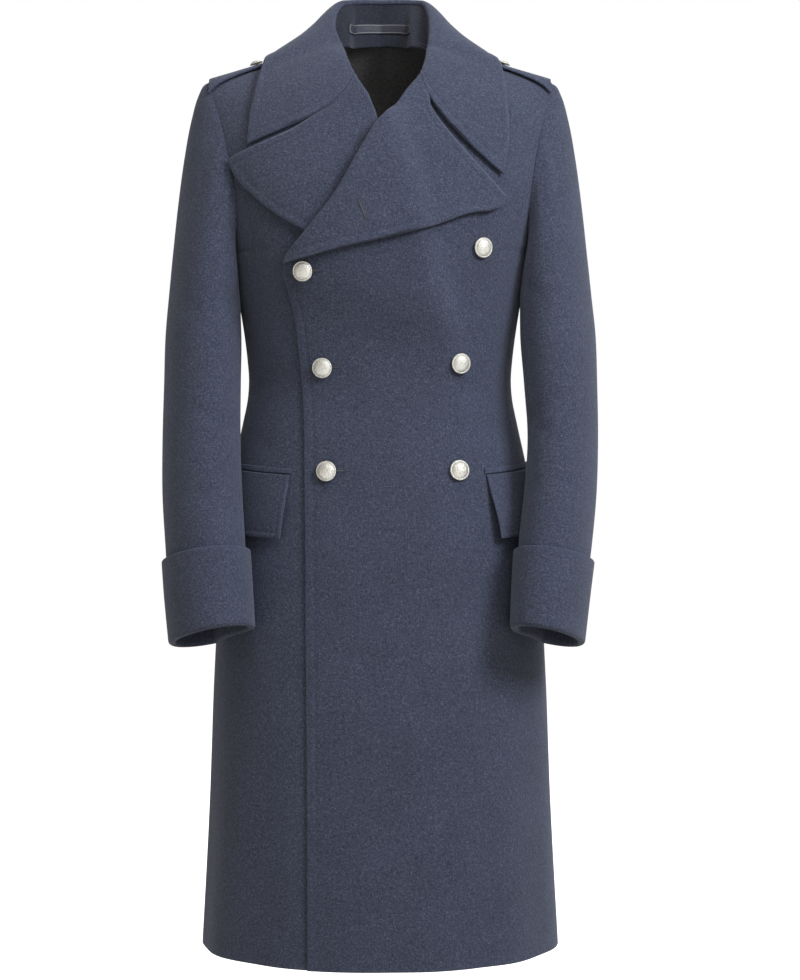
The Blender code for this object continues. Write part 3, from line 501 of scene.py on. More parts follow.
def read(table, column, at):
    """A smooth reading of one column of a table, whose first column is what it is read by."""
    keys = [row[0] for row in table]
    values = [getattr(row, column) for row in table]
    if keys[0] > keys[-1]:
        keys.reverse()
        values.reverse()
    return float(smooth(np.array(keys, float), np.array(values, float), np.array([at], float))[0])


def smooth(knots, values, at):
    """Values known at the knots, read in between along a smooth curve."""
    shape = (-1,) + (1,) * (values.ndim - 1)
    steps = np.diff(knots)
    rises = np.diff(values, axis=0) / steps.reshape(shape)
    slopes = np.empty_like(values)
    slopes[0] = rises[0]
    slopes[-1] = rises[-1]
    share = (steps[1:] / (steps[1:] + steps[:-1])).reshape(shape)
    slopes[1:-1] = rises[:-1] * share + rises[1:] * (1 - share)
    at = np.clip(at, knots[0], knots[-1])
    k = np.clip(np.searchsorted(knots, at, side="right") - 1, 0, len(knots) - 2)
    t = ((at - knots[k]) / steps[k]).reshape(shape)
    span = steps[k].reshape(shape)
    return (
        values[k] * (2 * t**3 - 3 * t**2 + 1)
        + slopes[k] * span * (t**3 - 2 * t**2 + t)
        + values[k + 1] * (3 * t**2 - 2 * t**3)
        + slopes[k + 1] * span * (t**3 - t**2)
    )


def ease(value):
    """0 below 0, 1 above 1, and a soft step between."""
    t = min(max(value, 0.0), 1.0)
    return t * t * (3 - 2 * t)


def bow(points, t):
    """A point on the cubic Bezier curve of four points."""
    weights = ((1 - t) ** 3, 3 * t * (1 - t) ** 2, 3 * t * t * (1 - t), t**3)
    return sum(w * np.array(p, float) for w, p in zip(weights, points))


def ridge_z(x):
    """Height of the shoulder seam, and of the dome over the neck where there is no cloth."""
    out = abs(x) - NECK_HALF_WIDTH
    if out > 0:
        return -SHOULDER_SLOPE * out
    return -SHOULDER_SLOPE * out * (1 - NECK_DOME * out / -NECK_HALF_WIDTH)


def back_ridge_z(x):
    inside = max(0.0, 1 - abs(x) / NECK_HALF_WIDTH)
    return ridge_z(x) + (NAPE_RISE * NAPE_SHARE) * ease(inside)


ring_store = {}


def ring_sizes(z):
    """Half width, front depth and back depth of the body at a height."""
    key = round(z, 3)
    if key not in ring_store:
        ring_store[key] = tuple(
            read(BODY_RINGS, column, z) for column in ("half_width", "front_depth", "back_depth")
        )
    return ring_store[key]


def depth(x, z, front):
    """How far the outer face of the body lies in front of, or behind, the side seams' plane."""
    half_width, front_depth, back_depth = ring_sizes(z)
    deep = front_depth if front else back_depth
    across = max(0.0, 1 - (abs(x) / half_width) ** BODY_SQUARENESS) ** (1 / BODY_SQUARENESS)
    if z <= ARMPIT_Z:
        return deep * across
    top = ridge_z(x) if front else back_ridge_z(x)
    dome = CHEST_DOME
    if not front:
        dome = BACK_DOME + (CHEST_DOME - BACK_DOME) * ease((abs(x) - BACK_DOME_X) / BACK_DOME_RUN)
    rise = min(1.0, (z - ARMPIT_Z) / (top - ARMPIT_Z))
    return deep * across * (1 - rise**dome) ** (1 / dome)


def front_normal(x, z):
    step = 1.5
    across = (depth(x + step, z, True) - depth(x - step, z, True)) / (2 * step)
    up = (depth(x, z + step, True) - depth(x, z - step, True)) / (2 * step)
    normal = np.array([-across, -1.0, -up])
    return normal / np.linalg.norm(normal)


def front_point(x, z, out=0.0):
    """A point of the body's front, moved out along its normal."""
    return np.array([x, -depth(x, z, True), z]) + front_normal(x, z) * out


def ring_point(angle, z, out=0.0):
    """A point of a body ring below the armpit: angle 0 is the centre front and 90 the left side seam."""
    half_width, front_depth, back_depth = ring_sizes(z)
    turned = math.radians(angle)
    power = 2 / BODY_SQUARENESS
    deep = (front_depth if math.cos(turned) >= 0 else back_depth) + out
    x = (half_width + out) * math.copysign(abs(math.sin(turned)) ** power, math.sin(turned))
    y = -deep * math.copysign(abs(math.cos(turned)) ** power, math.cos(turned))
    return np.array([x, y, z])


def ring_angle(x, z):
    share = min(1.0, abs(x) / ring_sizes(z)[0]) ** (BODY_SQUARENESS / 2)
    return math.copysign(math.degrees(math.asin(share)), x)


def edge_x(side, z):
    """Free edge or roll line of a front, on its own side of the centre."""
    return read(FRONT_EDGES, SIDE_NAMES[side], z)


def panel_edge_x(side, z):
    """Where the front's own cloth ends: a little behind the lapel's fold above the break."""
    return edge_x(side, z) + ROLL_SETBACK * ease((z - BREAK_Z) / BREAK_RUN)


def overlap_lift(x, z):
    """How far the left front stands out over the right front, and over the right lapel under it."""
    under_edge = -edge_x(-1, z)
    below_crossing = ease((CROSSING_Z - z) / CROSSING_RUN)
    over_front = ease((under_edge + LAP_REACH - x) / LAP_RUN) * below_crossing
    lapel_foot_z = LAPEL_FOOT_Z - LAPEL_FOOT_SLOPE * (x - LAPEL_FOOT_X)
    over_lapel = ease((under_edge + LAPEL_REACH - x) / LAPEL_RUN) * below_crossing
    over_lapel *= ease((z - lapel_foot_z + LAPEL_FOOT_EASE) / LAPEL_FOOT_RUN)
    return over_front * (CLOTH + LAYER_GAP) + over_lapel * (DOUBLE_CLOTH + LIFT_GAP)


def fold_depth(folds, at, z, mm_per_degree, wrap):
    """How far the cloth lies in or out at places given by an angle and a height."""
    total = np.zeros(np.shape(z))
    for fold in folds:
        start = np.array([fold.at_1 * mm_per_degree, fold.z_1])
        run = np.array([fold.at_2 * mm_per_degree, fold.z_2]) - start
        for turn in (-wrap, 0, wrap):
            across = (at + turn) * mm_per_degree - start[0]
            down = z - start[1]
            along = (across * run[0] + down * run[1]) / (run @ run)
            inside = np.clip(along, 0, 1)
            off = (across - run[0] * inside) ** 2 + (down - run[1] * inside) ** 2
            if fold.open:
                strength = np.clip(along * OPEN_FOLD_RATE, 0, 1) ** OPEN_FOLD_POWER
            else:
                strength = np.clip(4 * inside * (1 - inside), 0, 1) ** CLOSED_FOLD_POWER
            total -= fold.deep * strength * np.exp(-off / fold.width**2)
    return total


def body_drape(points):
    """The soft folds of the body at points on or near it, as a distance out."""
    angle = np.degrees(np.arctan2(points[..., 0], -points[..., 1]))
    return fold_depth(BODY_FOLDS, angle, points[..., 2], MM_PER_BODY_DEGREE, 360)


def body_out(points):
    """Direction out of the body, level, at points on or near it."""
    out = points * np.array([1 / BODY_HALF_WIDTH**2, 1 / BODY_HALF_DEPTH**2, 0])
    return out / np.maximum(np.linalg.norm(out, axis=-1, keepdims=True), 1e-9)


def draped(points):
    """Points on or near the body, moved with its soft folds."""
    return points + body_out(points) * body_drape(points)[..., None]


def grid_normals(grid, around):
    """Unit normals of a grid of points, from its rows and columns."""
    if around:
        along = np.roll(grid, -1, 1) - np.roll(grid, 1, 1)
    else:
        along = np.gradient(grid, axis=1)
    down = np.gradient(grid, axis=0)
    normals = np.cross(along, down)
    return normals / np.maximum(np.linalg.norm(normals, axis=2, keepdims=True), 1e-9)


def outward(grid, normals, away_from):
    """The normals, turned to point away from a place given for each row."""
    middle = np.array(away_from, float)
    if middle.ndim == 1:
        middle = np.broadcast_to(middle, (grid.shape[0], 3))
    facing = ((grid - middle[:, None, :]) * normals).sum()
    return normals if facing > 0 else -normals


def spread(length, start_zone=0.0, end_zone=0.0, far=FAR_STEP):
    """Shares of a length, with close steps in a zone at each end and wide ones between."""
    places = [0.0]
    while places[-1] < length:
        at = places[-1]
        off = min(max(0.0, at - start_zone), max(0.0, length - at - end_zone))
        places.append(at + min(far, NEAR_STEP * STEP_SHARE + STEP_GROWTH * off))
    return np.array(places) / places[-1]


def knots_of(grid, axis):
    steps = np.linalg.norm(np.diff(grid, axis=axis), axis=2).mean(axis=1 - axis)
    return np.concatenate([[0], np.cumsum(steps)])


def refine(grid, row_zones=(6, 6), column_zones=(6, 6), far=FAR_STEP):
    """The same surface with many more rows and columns, close together near the edges."""
    rows = knots_of(grid, 0)
    columns = knots_of(grid, 1)
    at_rows = spread(rows[-1], *row_zones, far) * rows[-1]
    at_columns = spread(columns[-1], *column_zones, far) * columns[-1]
    finer = smooth(rows, grid, at_rows)
    return smooth(columns, finer.transpose(1, 0, 2), at_columns).transpose(1, 0, 2)


def run_lengths(grid, axis):
    """Length from the first row or column to each point, along the cloth."""
    steps = np.linalg.norm(np.diff(grid, axis=axis), axis=2)
    zero = np.zeros_like(steps.take([0], axis=axis))
    return np.cumsum(np.concatenate([zero, steps], axis=axis), axis=axis)


def line_lengths(line):
    """Length from the first point of a line to each of its points."""
    return np.concatenate([[0], np.cumsum(np.linalg.norm(np.diff(line, axis=0), axis=1))])


def on_line(at, lengths, line):
    """Points, or directions, of a line at lengths along it."""
    return np.stack([np.interp(at, lengths, line[:, k]) for k in range(3)], -1)


def border_distance(grid, border):
    """Distance of each point from one border: top and foot are the first and last row."""
    axis = 0 if border in ("top", "foot") else 1
    lengths = run_lengths(grid, axis)
    if border in ("top", "start"):
        return lengths
    return lengths.take([-1], axis=axis) - lengths


def nearest_border(grid, borders):
    if not borders:
        return np.full(grid.shape[:2], FAR_OFF)
    return np.min([border_distance(grid, border) for border in borders], axis=0)


class Cloth:
    """One piece of cloth as a fine grid: its outer face, its normals and which borders are edges."""

    def __init__(self, name, grid, away_from, thick=CLOTH, around=False, edges=(), stitched=(), inset=0.0):
        self.name = name
        self.around = around
        self.thick = thick
        self.edges = edges
        self.stitched = stitched
        self.inset = inset
        self.grid = grid
        self.normals = outward(grid, grid_normals(grid, around), away_from)

    def sew(self):
        """Press the topstitching in, and let the edge outside it swell a little."""
        if self.stitched:
            off = nearest_border(self.grid, self.stitched)
            sunk = STITCH_SINK * np.exp(-(((off - self.inset) / STITCH_GROOVE) ** 2))
            swell = EDGE_SWELL * np.exp(-(((off - self.inset * 0.5) / (self.inset * EDGE_SWELL_WIDTH)) ** 2))
            self.grid = self.grid + self.normals * (swell - sunk)[..., None]
        return self


def shell(cloth, finish, inside=None):
    """A thin closed shell with round edges: the grid is its outer face."""
    grid, normals = cloth.grid, cloth.normals
    rows, columns = grid.shape[:2]
    radius = cloth.thick / 2
    off = nearest_border(grid, cloth.edges)
    lift_out = np.zeros_like(grid)
    lift_out[0] += grid[0] - grid[1]
    lift_out[-1] += grid[-1] - grid[-2]
    if not cloth.around:
        lift_out[:, 0] += grid[:, 0] - grid[:, 1]
        lift_out[:, -1] += grid[:, -1] - grid[:, -2]
    lift_out -= normals * (lift_out * normals).sum(axis=2, keepdims=True)
    size = np.linalg.norm(lift_out, axis=2, keepdims=True)
    lift_out = np.divide(lift_out, size, out=np.zeros_like(lift_out), where=size > 1e-9)
    face = grid - lift_out * (radius - SEAM_REACH)
    if cloth.around:
        loops = [np.arange(columns), np.arange(columns) + (rows - 1) * columns]
    else:
        top = np.arange(columns)
        end = np.arange(1, rows) * columns + columns - 1
        foot = np.arange(columns - 2, -1, -1) + (rows - 1) * columns
        start = np.arange(rows - 2, 0, -1) * columns
        loops = [np.concatenate([top, end, foot, start])]
    points = [face.reshape(-1, 3), (face - normals * cloth.thick).reshape(-1, 3)]
    distance = [off.reshape(-1), off.reshape(-1)]
    across = run_lengths(grid, 1).reshape(-1)
    down = run_lengths(grid, 0).reshape(-1)
    places = [np.stack([across, down], 1)] * 2
    count = rows * columns
    index = np.arange(count).reshape(rows, columns)
    left, right = index[:, :-1], index[:, 1:]
    if cloth.around:
        left, right = index, np.roll(index, -1, 1)
    quads = np.stack([left[:-1], right[:-1], right[1:], left[1:]], -1).reshape(-1, 4)
    faces = [quads, quads[:, ::-1] + count]
    inner_faces = np.arange(len(quads), 2 * len(quads))
    total = 2 * count
    flat_face, flat_out, flat_normal = (a.reshape(-1, 3) for a in (face, lift_out, normals))
    for loop in loops:
        rings = [loop]
        for step in range(1, RIM_STEPS):
            turned = math.pi * step / RIM_STEPS
            middle = flat_face[loop] - flat_normal[loop] * radius
            facing = flat_normal[loop] * math.cos(turned) + flat_out[loop] * math.sin(turned)
            points.append(middle + facing * radius)
            distance.append(off.reshape(-1)[loop])
            places.append(places[0][loop])
            rings.append(np.arange(total, total + len(loop)))
            total += len(loop)
        rings.append(loop + count)
        for upper, lower in zip(rings[:-1], rings[1:]):
            strip = np.stack([upper, lower, np.roll(lower, -1), np.roll(upper, -1)], -1)
            if cloth.around and loop[0] != 0:
                strip = strip[:, ::-1]
            faces.append(strip)
    points = np.concatenate(points) * MM
    faces = np.concatenate(faces)
    a, b, c, d = (points[faces[:, k]] for k in range(4))
    volume = (a * np.cross(b, c)).sum() + (a * np.cross(c, d)).sum()
    if volume < 0:
        faces = faces[:, ::-1]
    mesh = bpy.data.meshes.new(cloth.name)
    mesh.from_pydata(points.tolist(), [], faces.tolist())
    mesh.materials.append(finish)
    if inside is not None:
        mesh.materials.append(inside)
        which = np.zeros(len(faces), np.int32)
        which[inner_faces] = 1
        mesh.polygons.foreach_set("material_index", which)
    edge = mesh.attributes.new("edge_distance", "FLOAT", "POINT")
    edge.data.foreach_set("value", (np.concatenate(distance) * MM).astype(np.float32))
    place = np.concatenate(places) * MM
    corner = np.empty(len(mesh.loops), np.int32)
    mesh.loops.foreach_get("vertex_index", corner)
    mesh.uv_layers.new(name="cloth").data.foreach_set("uv", place[corner].astype(np.float32).reshape(-1))
    mesh.shade_smooth()
    mesh.update()
    return link_mesh(cloth.name, mesh)


def link_mesh(name, mesh):
    made = bpy.data.objects.new(name, mesh)
    bpy.context.scene.collection.objects.link(made)
    return made


def area_of(grid, around):
    """Area, width and length of the outer face, in metres."""
    if around:
        grid = np.concatenate([grid, grid[:, :1]], axis=1)
    a, b, c, d = grid[:-1, :-1], grid[:-1, 1:], grid[1:, 1:], grid[1:, :-1]
    first = np.linalg.norm(np.cross(b - a, c - a), axis=2).sum() / 2
    second = np.linalg.norm(np.cross(c - a, d - a), axis=2).sum() / 2
    width = run_lengths(grid, 1)[:, -1].max()
    length = run_lengths(grid, 0)[-1].max()
    return (first + second) * MM * MM, width * MM, length * MM


def dress(cloth, node, finish, inside=None):
    """Make a piece of cloth that stands for its solid, and hide the solid; its area, width and length are
    worked out but not used.
    """
    made = shell(cloth, finish, inside)
    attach(made, "root")
    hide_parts(node)
    area, width, length = area_of(cloth.grid, cloth.around)
    return made


def body_rows():
    """Heights of the rows below the armpit, then shares of the rise from armpit to shoulder."""
    low = [HEM_Z, -1130, -1080, -1020, -960, -900, -840, -780, -730, -685, -640, -600, -565, -535]
    low += [-505, -480, -455, -430, -405, -380, -350, -320, -295]
    high = [0.0, 0.03, 0.08, 0.15, 0.23, 0.32, 0.41, 0.5, 0.59]
    high += [0.67, 0.75, 0.82, 0.88, 0.925, 0.96, 0.985, 1.0]
    return low, high


def settle(first, towards):
    """Repeat x = towards(x) until it settles."""
    x = first
    for _ in range(14):
        x = 0.5 * x + 0.5 * towards(x)
    return x


def front_grid(side):
    """Outer face of one front, from its free edge to the side seam and armhole."""
    low, high = body_rows()
    columns = 25
    rows = []
    for z in low:
        start = ring_angle(panel_edge_x(side, z), z)
        angles = [start + (90 - start) * c / (columns - 1) for c in range(columns)]
        dip = HEM_DIP if z == HEM_Z else 0.0
        rows.append([(ring_point(a, z)[0], z - dip * math.cos(math.radians(a)) ** 2) for a in angles])
    for share in high:
        def z_of(x, share=share):
            return ARMPIT_Z + (ridge_z(x) - ARMPIT_Z) * share

        inner = settle(0.0, lambda x: panel_edge_x(side, z_of(x)))
        if share == 1.0:
            inner = NECK_HALF_WIDTH
        column = "front_" + SIDE_NAMES[side]
        outer = settle(BODY_HALF_WIDTH, lambda x: read(ARMHOLES, column, z_of(x)))
        wide = ring_sizes(z_of(outer))[0] if share > 0 else outer
        start = math.asin(min(1.0, abs(inner) / wide) ** (BODY_SQUARENESS / 2)) * math.copysign(1, inner)
        end = math.asin(min(1.0, outer / wide) ** (BODY_SQUARENESS / 2))
        line = []
        for c in range(columns):
            turned = start + (end - start) * c / (columns - 1)
            x = wide * math.copysign(abs(math.sin(turned)) ** (2 / BODY_SQUARENESS), turned)
            line.append((x, z_of(x)))
        rows.append(line)
    grid = np.zeros((len(rows), columns, 3))
    for r, line in enumerate(rows):
        for c, (x, z) in enumerate(line):
            at_side = c == columns - 1 and z <= ARMPIT_Z
            at_ridge = r == len(rows) - 1
            lift = overlap_lift(x, z) if side > 0 else 0.0
            if at_side or at_ridge:
                grid[r, c] = (side * x, 0.0, z)
            elif lift > 0:
                grid[r, c] = front_point(x, z, lift)
            else:
                grid[r, c] = (side * x, -depth(x, z, True), z)
    return grid


def back_grid(side):
    """Outer face of one half of the back, from the centre-back seam to the side seam and armhole."""
    low, high = body_rows()
    inner_columns, outer_columns = 6, 14
    columns = inner_columns + outer_columns + 1
    grid = np.zeros((len(low) + len(high), columns, 3))

    def angles_of(end):
        split = math.asin((NECK_HALF_WIDTH / BODY_HALF_WIDTH) ** (BODY_SQUARENESS / 2))
        first = [split * c / inner_columns for c in range(inner_columns)]
        return first + [split + (end - split) * c / outer_columns for c in range(outer_columns + 1)]

    for r, z in enumerate(low):
        for c, turned in enumerate(angles_of(math.pi / 2)):
            place = ring_point(180 - math.degrees(turned), z)
            grid[r, c] = (side * place[0], place[1], z)
        grid[r, -1, 1] = 0.0
    for k, share in enumerate(high):
        r = len(low) + k

        def top_of(x):
            if abs(x) >= NECK_HALF_WIDTH:
                return ridge_z(x)
            return NAPE_RISE * (1 - (x / NECK_HALF_WIDTH) ** 2)

        def z_of(x, share=share):
            return ARMPIT_Z + (top_of(x) - ARMPIT_Z) * share

        outer = settle(BODY_HALF_WIDTH, lambda x: read(ARMHOLES, "back", z_of(x)))
        wide = ring_sizes(z_of(outer))[0] if share > 0 else outer
        end = math.asin(min(1.0, outer / wide) ** (BODY_SQUARENESS / 2))
        scale = [wide * math.sin(a) ** (2 / BODY_SQUARENESS) for a in angles_of(end)]
        stretch = NECK_HALF_WIDTH / scale[inner_columns]
        for c, x in enumerate(scale):
            if c <= inner_columns:
                x *= stretch
            else:
                over = (x - scale[inner_columns]) / (scale[-1] - scale[inner_columns])
                x = NECK_HALF_WIDTH + (scale[-1] - NECK_HALF_WIDTH) * over
            z = z_of(x)
            grid[r, c] = (side * x, depth(x, z, False), z)
            at_ridge = share == 1.0 and c >= inner_columns
            if at_ridge or (share == 0.0 and c == columns - 1):
                grid[r, c, 1] = 0.0
    grid[:, 0, 0] = 0.0
    return grid


def middle_of(grid):
    """The coat's own middle, level with each row of a panel."""
    lowered = grid[..., 2].mean(axis=1) - PANEL_DROP
    return np.stack([np.zeros(len(grid)), np.zeros(len(grid)), lowered], axis=1)


def surface_tree(grids):
    """The outer faces of several grids, to find how near a point comes."""
    points = []
    faces = []
    for grid in grids:
        start = len(points)
        rows, columns = grid.shape[:2]
        points.extend(Vector(p) for p in grid.reshape(-1, 3))
        for r in range(rows - 1):
            for c in range(columns - 1):
                a = start + r * columns + c
                faces.append((a, a + 1, a + columns + 1, a + columns))
    return BVHTree.FromPolygons(points, faces)


def keep_clear(point, trees, clearance, facing_share=CLEAR_FACING):
    """Move a point off the outer faces that it faces, where it comes nearer than the clearance."""
    place = Vector(point)
    for _ in range(3):
        for tree in trees:
            near, normal, _, far = tree.find_nearest(place)
            if near is None:
                continue
            rise = 0 if near.z < SHOULDER_Z else near.z + SHOULDER_CENTRE
            away = Vector((near.x, near.y, rise))
            if normal.dot(away) < 0:
                normal = -normal
            height = (place - near).dot(normal)
            if far < CLEAR_REACH and height < clearance and abs(height) >= facing_share * far:
                place += normal * (clearance - height)
    return np.array(place)


def cleared(grid, trees, clearance, around=False):
    """A grid kept clear of other faces, with the moves spread softly over it."""
    target = np.array([[keep_clear(p, trees, clearance[r]) for p in line] for r, line in enumerate(grid)])
    move = target - grid
    soft = move.copy()
    for _ in range(2):
        sides = (np.roll(soft, 1, 1) + np.roll(soft, -1, 1)) / 2
        if not around:
            sides[:, 0] = soft[:, 0]
            sides[:, -1] = soft[:, -1]
        ends = soft.copy()
        ends[1:-1] = (soft[:-2] + soft[2:]) / 2
        soft = 0.5 * soft + 0.25 * sides + 0.25 * ends
    soft[0] = move[0]
    return grid + soft


def sit_on(point, tree, height):
    """The place straight out from the panel's face below a point, at a height above it."""
    near, normal, _, _ = tree.find_nearest(Vector(point))
    if normal.dot(Vector((near.x, near.y, 0))) < 0:
        normal = -normal
    return np.array(near + normal * height)


def armhole_loop(front, back):
    """The armhole seam from the shoulder down the front and up the back, in even steps."""
    def upper(grid, normals):
        keep = grid[:, -1, 2] >= ARMPIT_Z - ON_SEAM
        return grid[keep, -1], normals[keep, -1]

    front_edge, front_out = upper(front.grid, front.normals)
    back_edge, back_out = upper(back.grid, back.normals)
    points = np.concatenate([front_edge[::-1], back_edge[1:]])
    normals = np.concatenate([front_out[::-1], back_out[1:]])
    lengths = line_lengths(points)
    shares = np.arange(LOOP_POINTS) / LOOP_POINTS
    at = shares * lengths[-1]
    loop = on_line(at, lengths, points)
    out = on_line(at, lengths, normals)
    return loop, out / np.linalg.norm(out, axis=1, keepdims=True), shares


def sleeve_ring(side, row, shares):
    """Points of one sleeve ring; share 0 is the outer side, and it turns towards the front."""
    suffix = SIDE_NAMES[side]
    outer = getattr(row, "outer_" + suffix)
    inner = getattr(row, "inner_" + suffix)
    middle = np.array([(outer + inner) / 2, row.middle_y, row.z])
    turn = math.radians(row.turn)
    reach = (outer - inner) / 2
    half_width = math.sqrt(max(1.0, reach**2 - (row.half_depth * math.sin(turn)) ** 2)) / math.cos(turn)
    angle = 2 * math.pi * shares
    across = half_width * np.cos(angle)
    ahead = row.half_depth * np.sin(angle)
    x = across * math.cos(turn) - ahead * math.sin(turn)
    y = -(across * math.sin(turn) + ahead * math.cos(turn))
    z = -y * math.sin(math.radians(row.pitch)) - x * math.sin(math.radians(row.roll))
    ring = middle + np.stack([x, y * math.cos(math.radians(row.pitch)), z], 1)
    ring[:, 0] *= side
    return ring


def sleeve_grid(side, loop, loop_normals, shares, body_trees):
    """Outer face of a sleeve: a cap from the armhole to the arm, and the arm's rings down to the wrist."""
    rings = [sleeve_ring(side, row, shares) for row in SLEEVE_RINGS]
    tangent = np.roll(loop, -1, 0) - np.roll(loop, 1, 0)
    off_panel = np.cross(tangent, loop_normals)
    off_panel /= np.linalg.norm(off_panel, axis=1, keepdims=True)
    if off_panel[0, 0] * side < 0:
        off_panel = -off_panel
    start = loop - off_panel * SLEEVE_TUCK
    first = rings[0]
    onward = rings[1] - rings[0]
    onward /= np.linalg.norm(onward, axis=1, keepdims=True)
    span = np.linalg.norm(first - start, axis=1)
    turned = 2 * math.pi * shares
    top = np.cos(turned)
    ahead = np.sin(turned)
    leave = np.stack(
        [
            side * (CAP_OUT + CAP_OUT_TOP * top),
            -CAP_AHEAD * ahead * (top < 0.5),
            -CAP_FALL * (1 - np.abs(top)) * (top > 0) - CAP_UNDER * np.maximum(0, -top),
        ],
        axis=1,
    )
    grid = [start]
    for t in SLEEVE_CAP_STEPS:
        a = (2 * t**3 - 3 * t**2 + 1) * start
        b = (t**3 - 2 * t**2 + t) * leave * span[:, None]
        c = (3 * t**2 - 2 * t**3) * first
        d = (t**3 - t**2) * onward * span[:, None] * CAP_END
        grid.append(a + b + c + d)
    grid.extend(rings)
    grid = np.array(grid)
    near_hip = [ease((HIP_Z - row[:, 2].mean()) / HIP_RUN) for row in grid]
    clearance = [
        min(CAP_ROW_CLEARANCE * r, ARM_CLEARANCE) * (1 - hip) + CUFF_CLEARANCE * hip
        for r, hip in enumerate(near_hip)
    ]
    clearance[0] = NO_CLEARANCE
    return cleared(grid, body_trees, clearance, around=True)


def around_at(grid, shares, at_shares):
    """Columns of a grid that goes all round, read at other shares of the way round."""
    wrapped = np.concatenate([grid[:, -4:], grid, grid[:, :5]], axis=1)
    knots = np.concatenate([shares[-4:] - 1, shares, shares[:4] + 1, [shares[4] + 1]])
    back = np.where(at_shares >= 1, at_shares - 1, at_shares)
    return smooth(knots, wrapped.transpose(1, 0, 2), back).transpose(1, 0, 2)


def sleeve_fine(side, grid, shares, start, end):
    """The part of a sleeve between two seams, fine and with its soft folds."""
    rows = knots_of(grid, 0)
    at_rows = spread(rows[-1], 4, 4, 6.0) * rows[-1]
    finer = smooth(rows, grid, at_rows)
    girth = np.linalg.norm(np.diff(grid, axis=1), axis=2).sum(axis=1).mean()
    at = start + (end - start) * spread(girth * (end - start), 4, 4, 6.5)
    piece = around_at(finer, shares, at)
    middles = np.repeat(finer.mean(axis=1, keepdims=True), piece.shape[1], axis=1)
    out = piece - middles
    out /= np.linalg.norm(out, axis=2, keepdims=True)
    angle = np.broadcast_to(at * 360.0, piece.shape[:2])
    move = fold_depth(SLEEVE_FOLDS[side], angle, piece[..., 2], MM_PER_SLEEVE_DEGREE, 360)
    return piece + out * move[..., None], finer.mean(axis=1)


def rolled(grid, normals, radius, setback, angles=ROLL_ANGLES):
    """The grid with a round roll before its first column; the roll's far side is radius less setback out."""
    lengths = run_lengths(grid, 1)
    lines = []
    for r in range(grid.shape[0]):
        along = lengths[r]
        back = setback[r]
        at = back + (along[-1] - back) * along / along[-1]
        line = on_line(at, along, grid[r])
        normal = on_line(back, along, normals[r])
        normal /= np.linalg.norm(normal)
        onward = line[2] - line[0]
        onward -= normal * (onward @ normal)
        onward /= np.linalg.norm(onward)
        middle = line[0] - normal * radius
        curl = [
            middle + (normal * math.cos(math.radians(a)) - onward * math.sin(math.radians(a))) * radius
            for a in angles
        ]
        lines.append(np.concatenate([curl, line]))
    return np.array(lines)


def lapel_grid(side, front_tree):
    """A lapel lying on the front, from its fold to its free edge."""
    name = SIDE_NAMES[side]
    corners = CHEST_CORNERS[side]
    rows, columns = 18, 14
    outline = np.zeros((rows, columns, 2))
    roll_foot = LAPEL_ROLL_FOOT_Z[side]
    start = np.array([edge_x(side, corners.top_z), corners.top_z])
    tip = np.array(corners.tip, float)
    for r in range(rows):
        s = r / (rows - 1)
        z = corners.top_z + (roll_foot - corners.top_z) * s
        fold = np.array([edge_x(side, z), z])
        edge = np.array([read(LAPEL_EDGE, "x_" + name, s), read(LAPEL_EDGE, "z_" + name, s)])
        for c in range(columns):
            t = c / (columns - 1)
            top = bow((start, corners.top_bow_1, corners.top_bow_2, corners.tip), t)
            straight = start * (1 - t) + tip * t
            outline[r, c] = fold * (1 - t) + edge * t + (1 - s) ** 2 * (top - straight)
    grid = np.zeros((rows, columns, 3))
    for r in range(rows):
        for c in range(columns):
            x, z = outline[r, c]
            t = c / (columns - 1)
            under = overlap_lift(x, z) if side > 0 else 0.0
            covered = 0.0 if side > 0 else ease((COVERED_Z - z) / COVERED_RUN)
            roll = LAPEL_ROLL_RISE * math.exp(-t * ROLL_FADE) * (1 - covered)
            gap = LAPEL_GAP + (LAYER_GAP - LAPEL_GAP) * covered
            rise = roll + TIP_LIFT * t * t
            place = front_point(x, z, under + gap + DOUBLE_CLOTH + rise)
            place[0] *= side
            grid[r, c] = keep_clear(place, [front_tree], gap + DOUBLE_CLOTH, LAPEL_FACING)
    return grid


def gorge_closed(side, grid, leaf_end):
    """The lapel with its top edge drawn up to the collar's end, from the fold out to the notch."""
    from_fold = run_lengths(grid, 1)[0]
    from_top = run_lengths(grid, 0)
    target = on_line(from_fold, line_lengths(leaf_end), leaf_end)
    upward = grid[0] - grid[2]
    upward /= np.linalg.norm(upward, axis=1, keepdims=True)
    apart = np.array([ease((d - GORGE_SEWN) / NOTCH_RUN) for d in from_fold])[:, None]
    move = target + upward * (GORGE_OVERLAP - (GORGE_OVERLAP + NOTCH_GAP) * apart) - grid[0]
    along = np.array([1 - ease((d - GORGE_LENGTH[side]) / GORGE_EASE[side]) for d in from_fold])
    down = 1 - np.clip(from_top / GORGE_REACH, 0, 1)
    return grid + (move * along[:, None])[None] * (down * down * (3 - 2 * down))[..., None]


def neck_seam(u, side):
    """A point of the neck seam: u 0 is the nape, 0.5 the shoulder seam and 1 the end of the collar."""
    if u <= 0.5:
        x = NECK_HALF_WIDTH * math.sin(math.pi * u)
        z = NAPE_RISE * (1 - (x / NECK_HALF_WIDTH) ** 2)
        return np.array([side * x, depth(x, z, False), z])
    z = -NECK_FRONT_DROP * (2 * u - 1) ** NECK_FRONT_POWER
    x = panel_edge_x(side, z)
    return np.array([side * x, -depth(x, z, True), z])


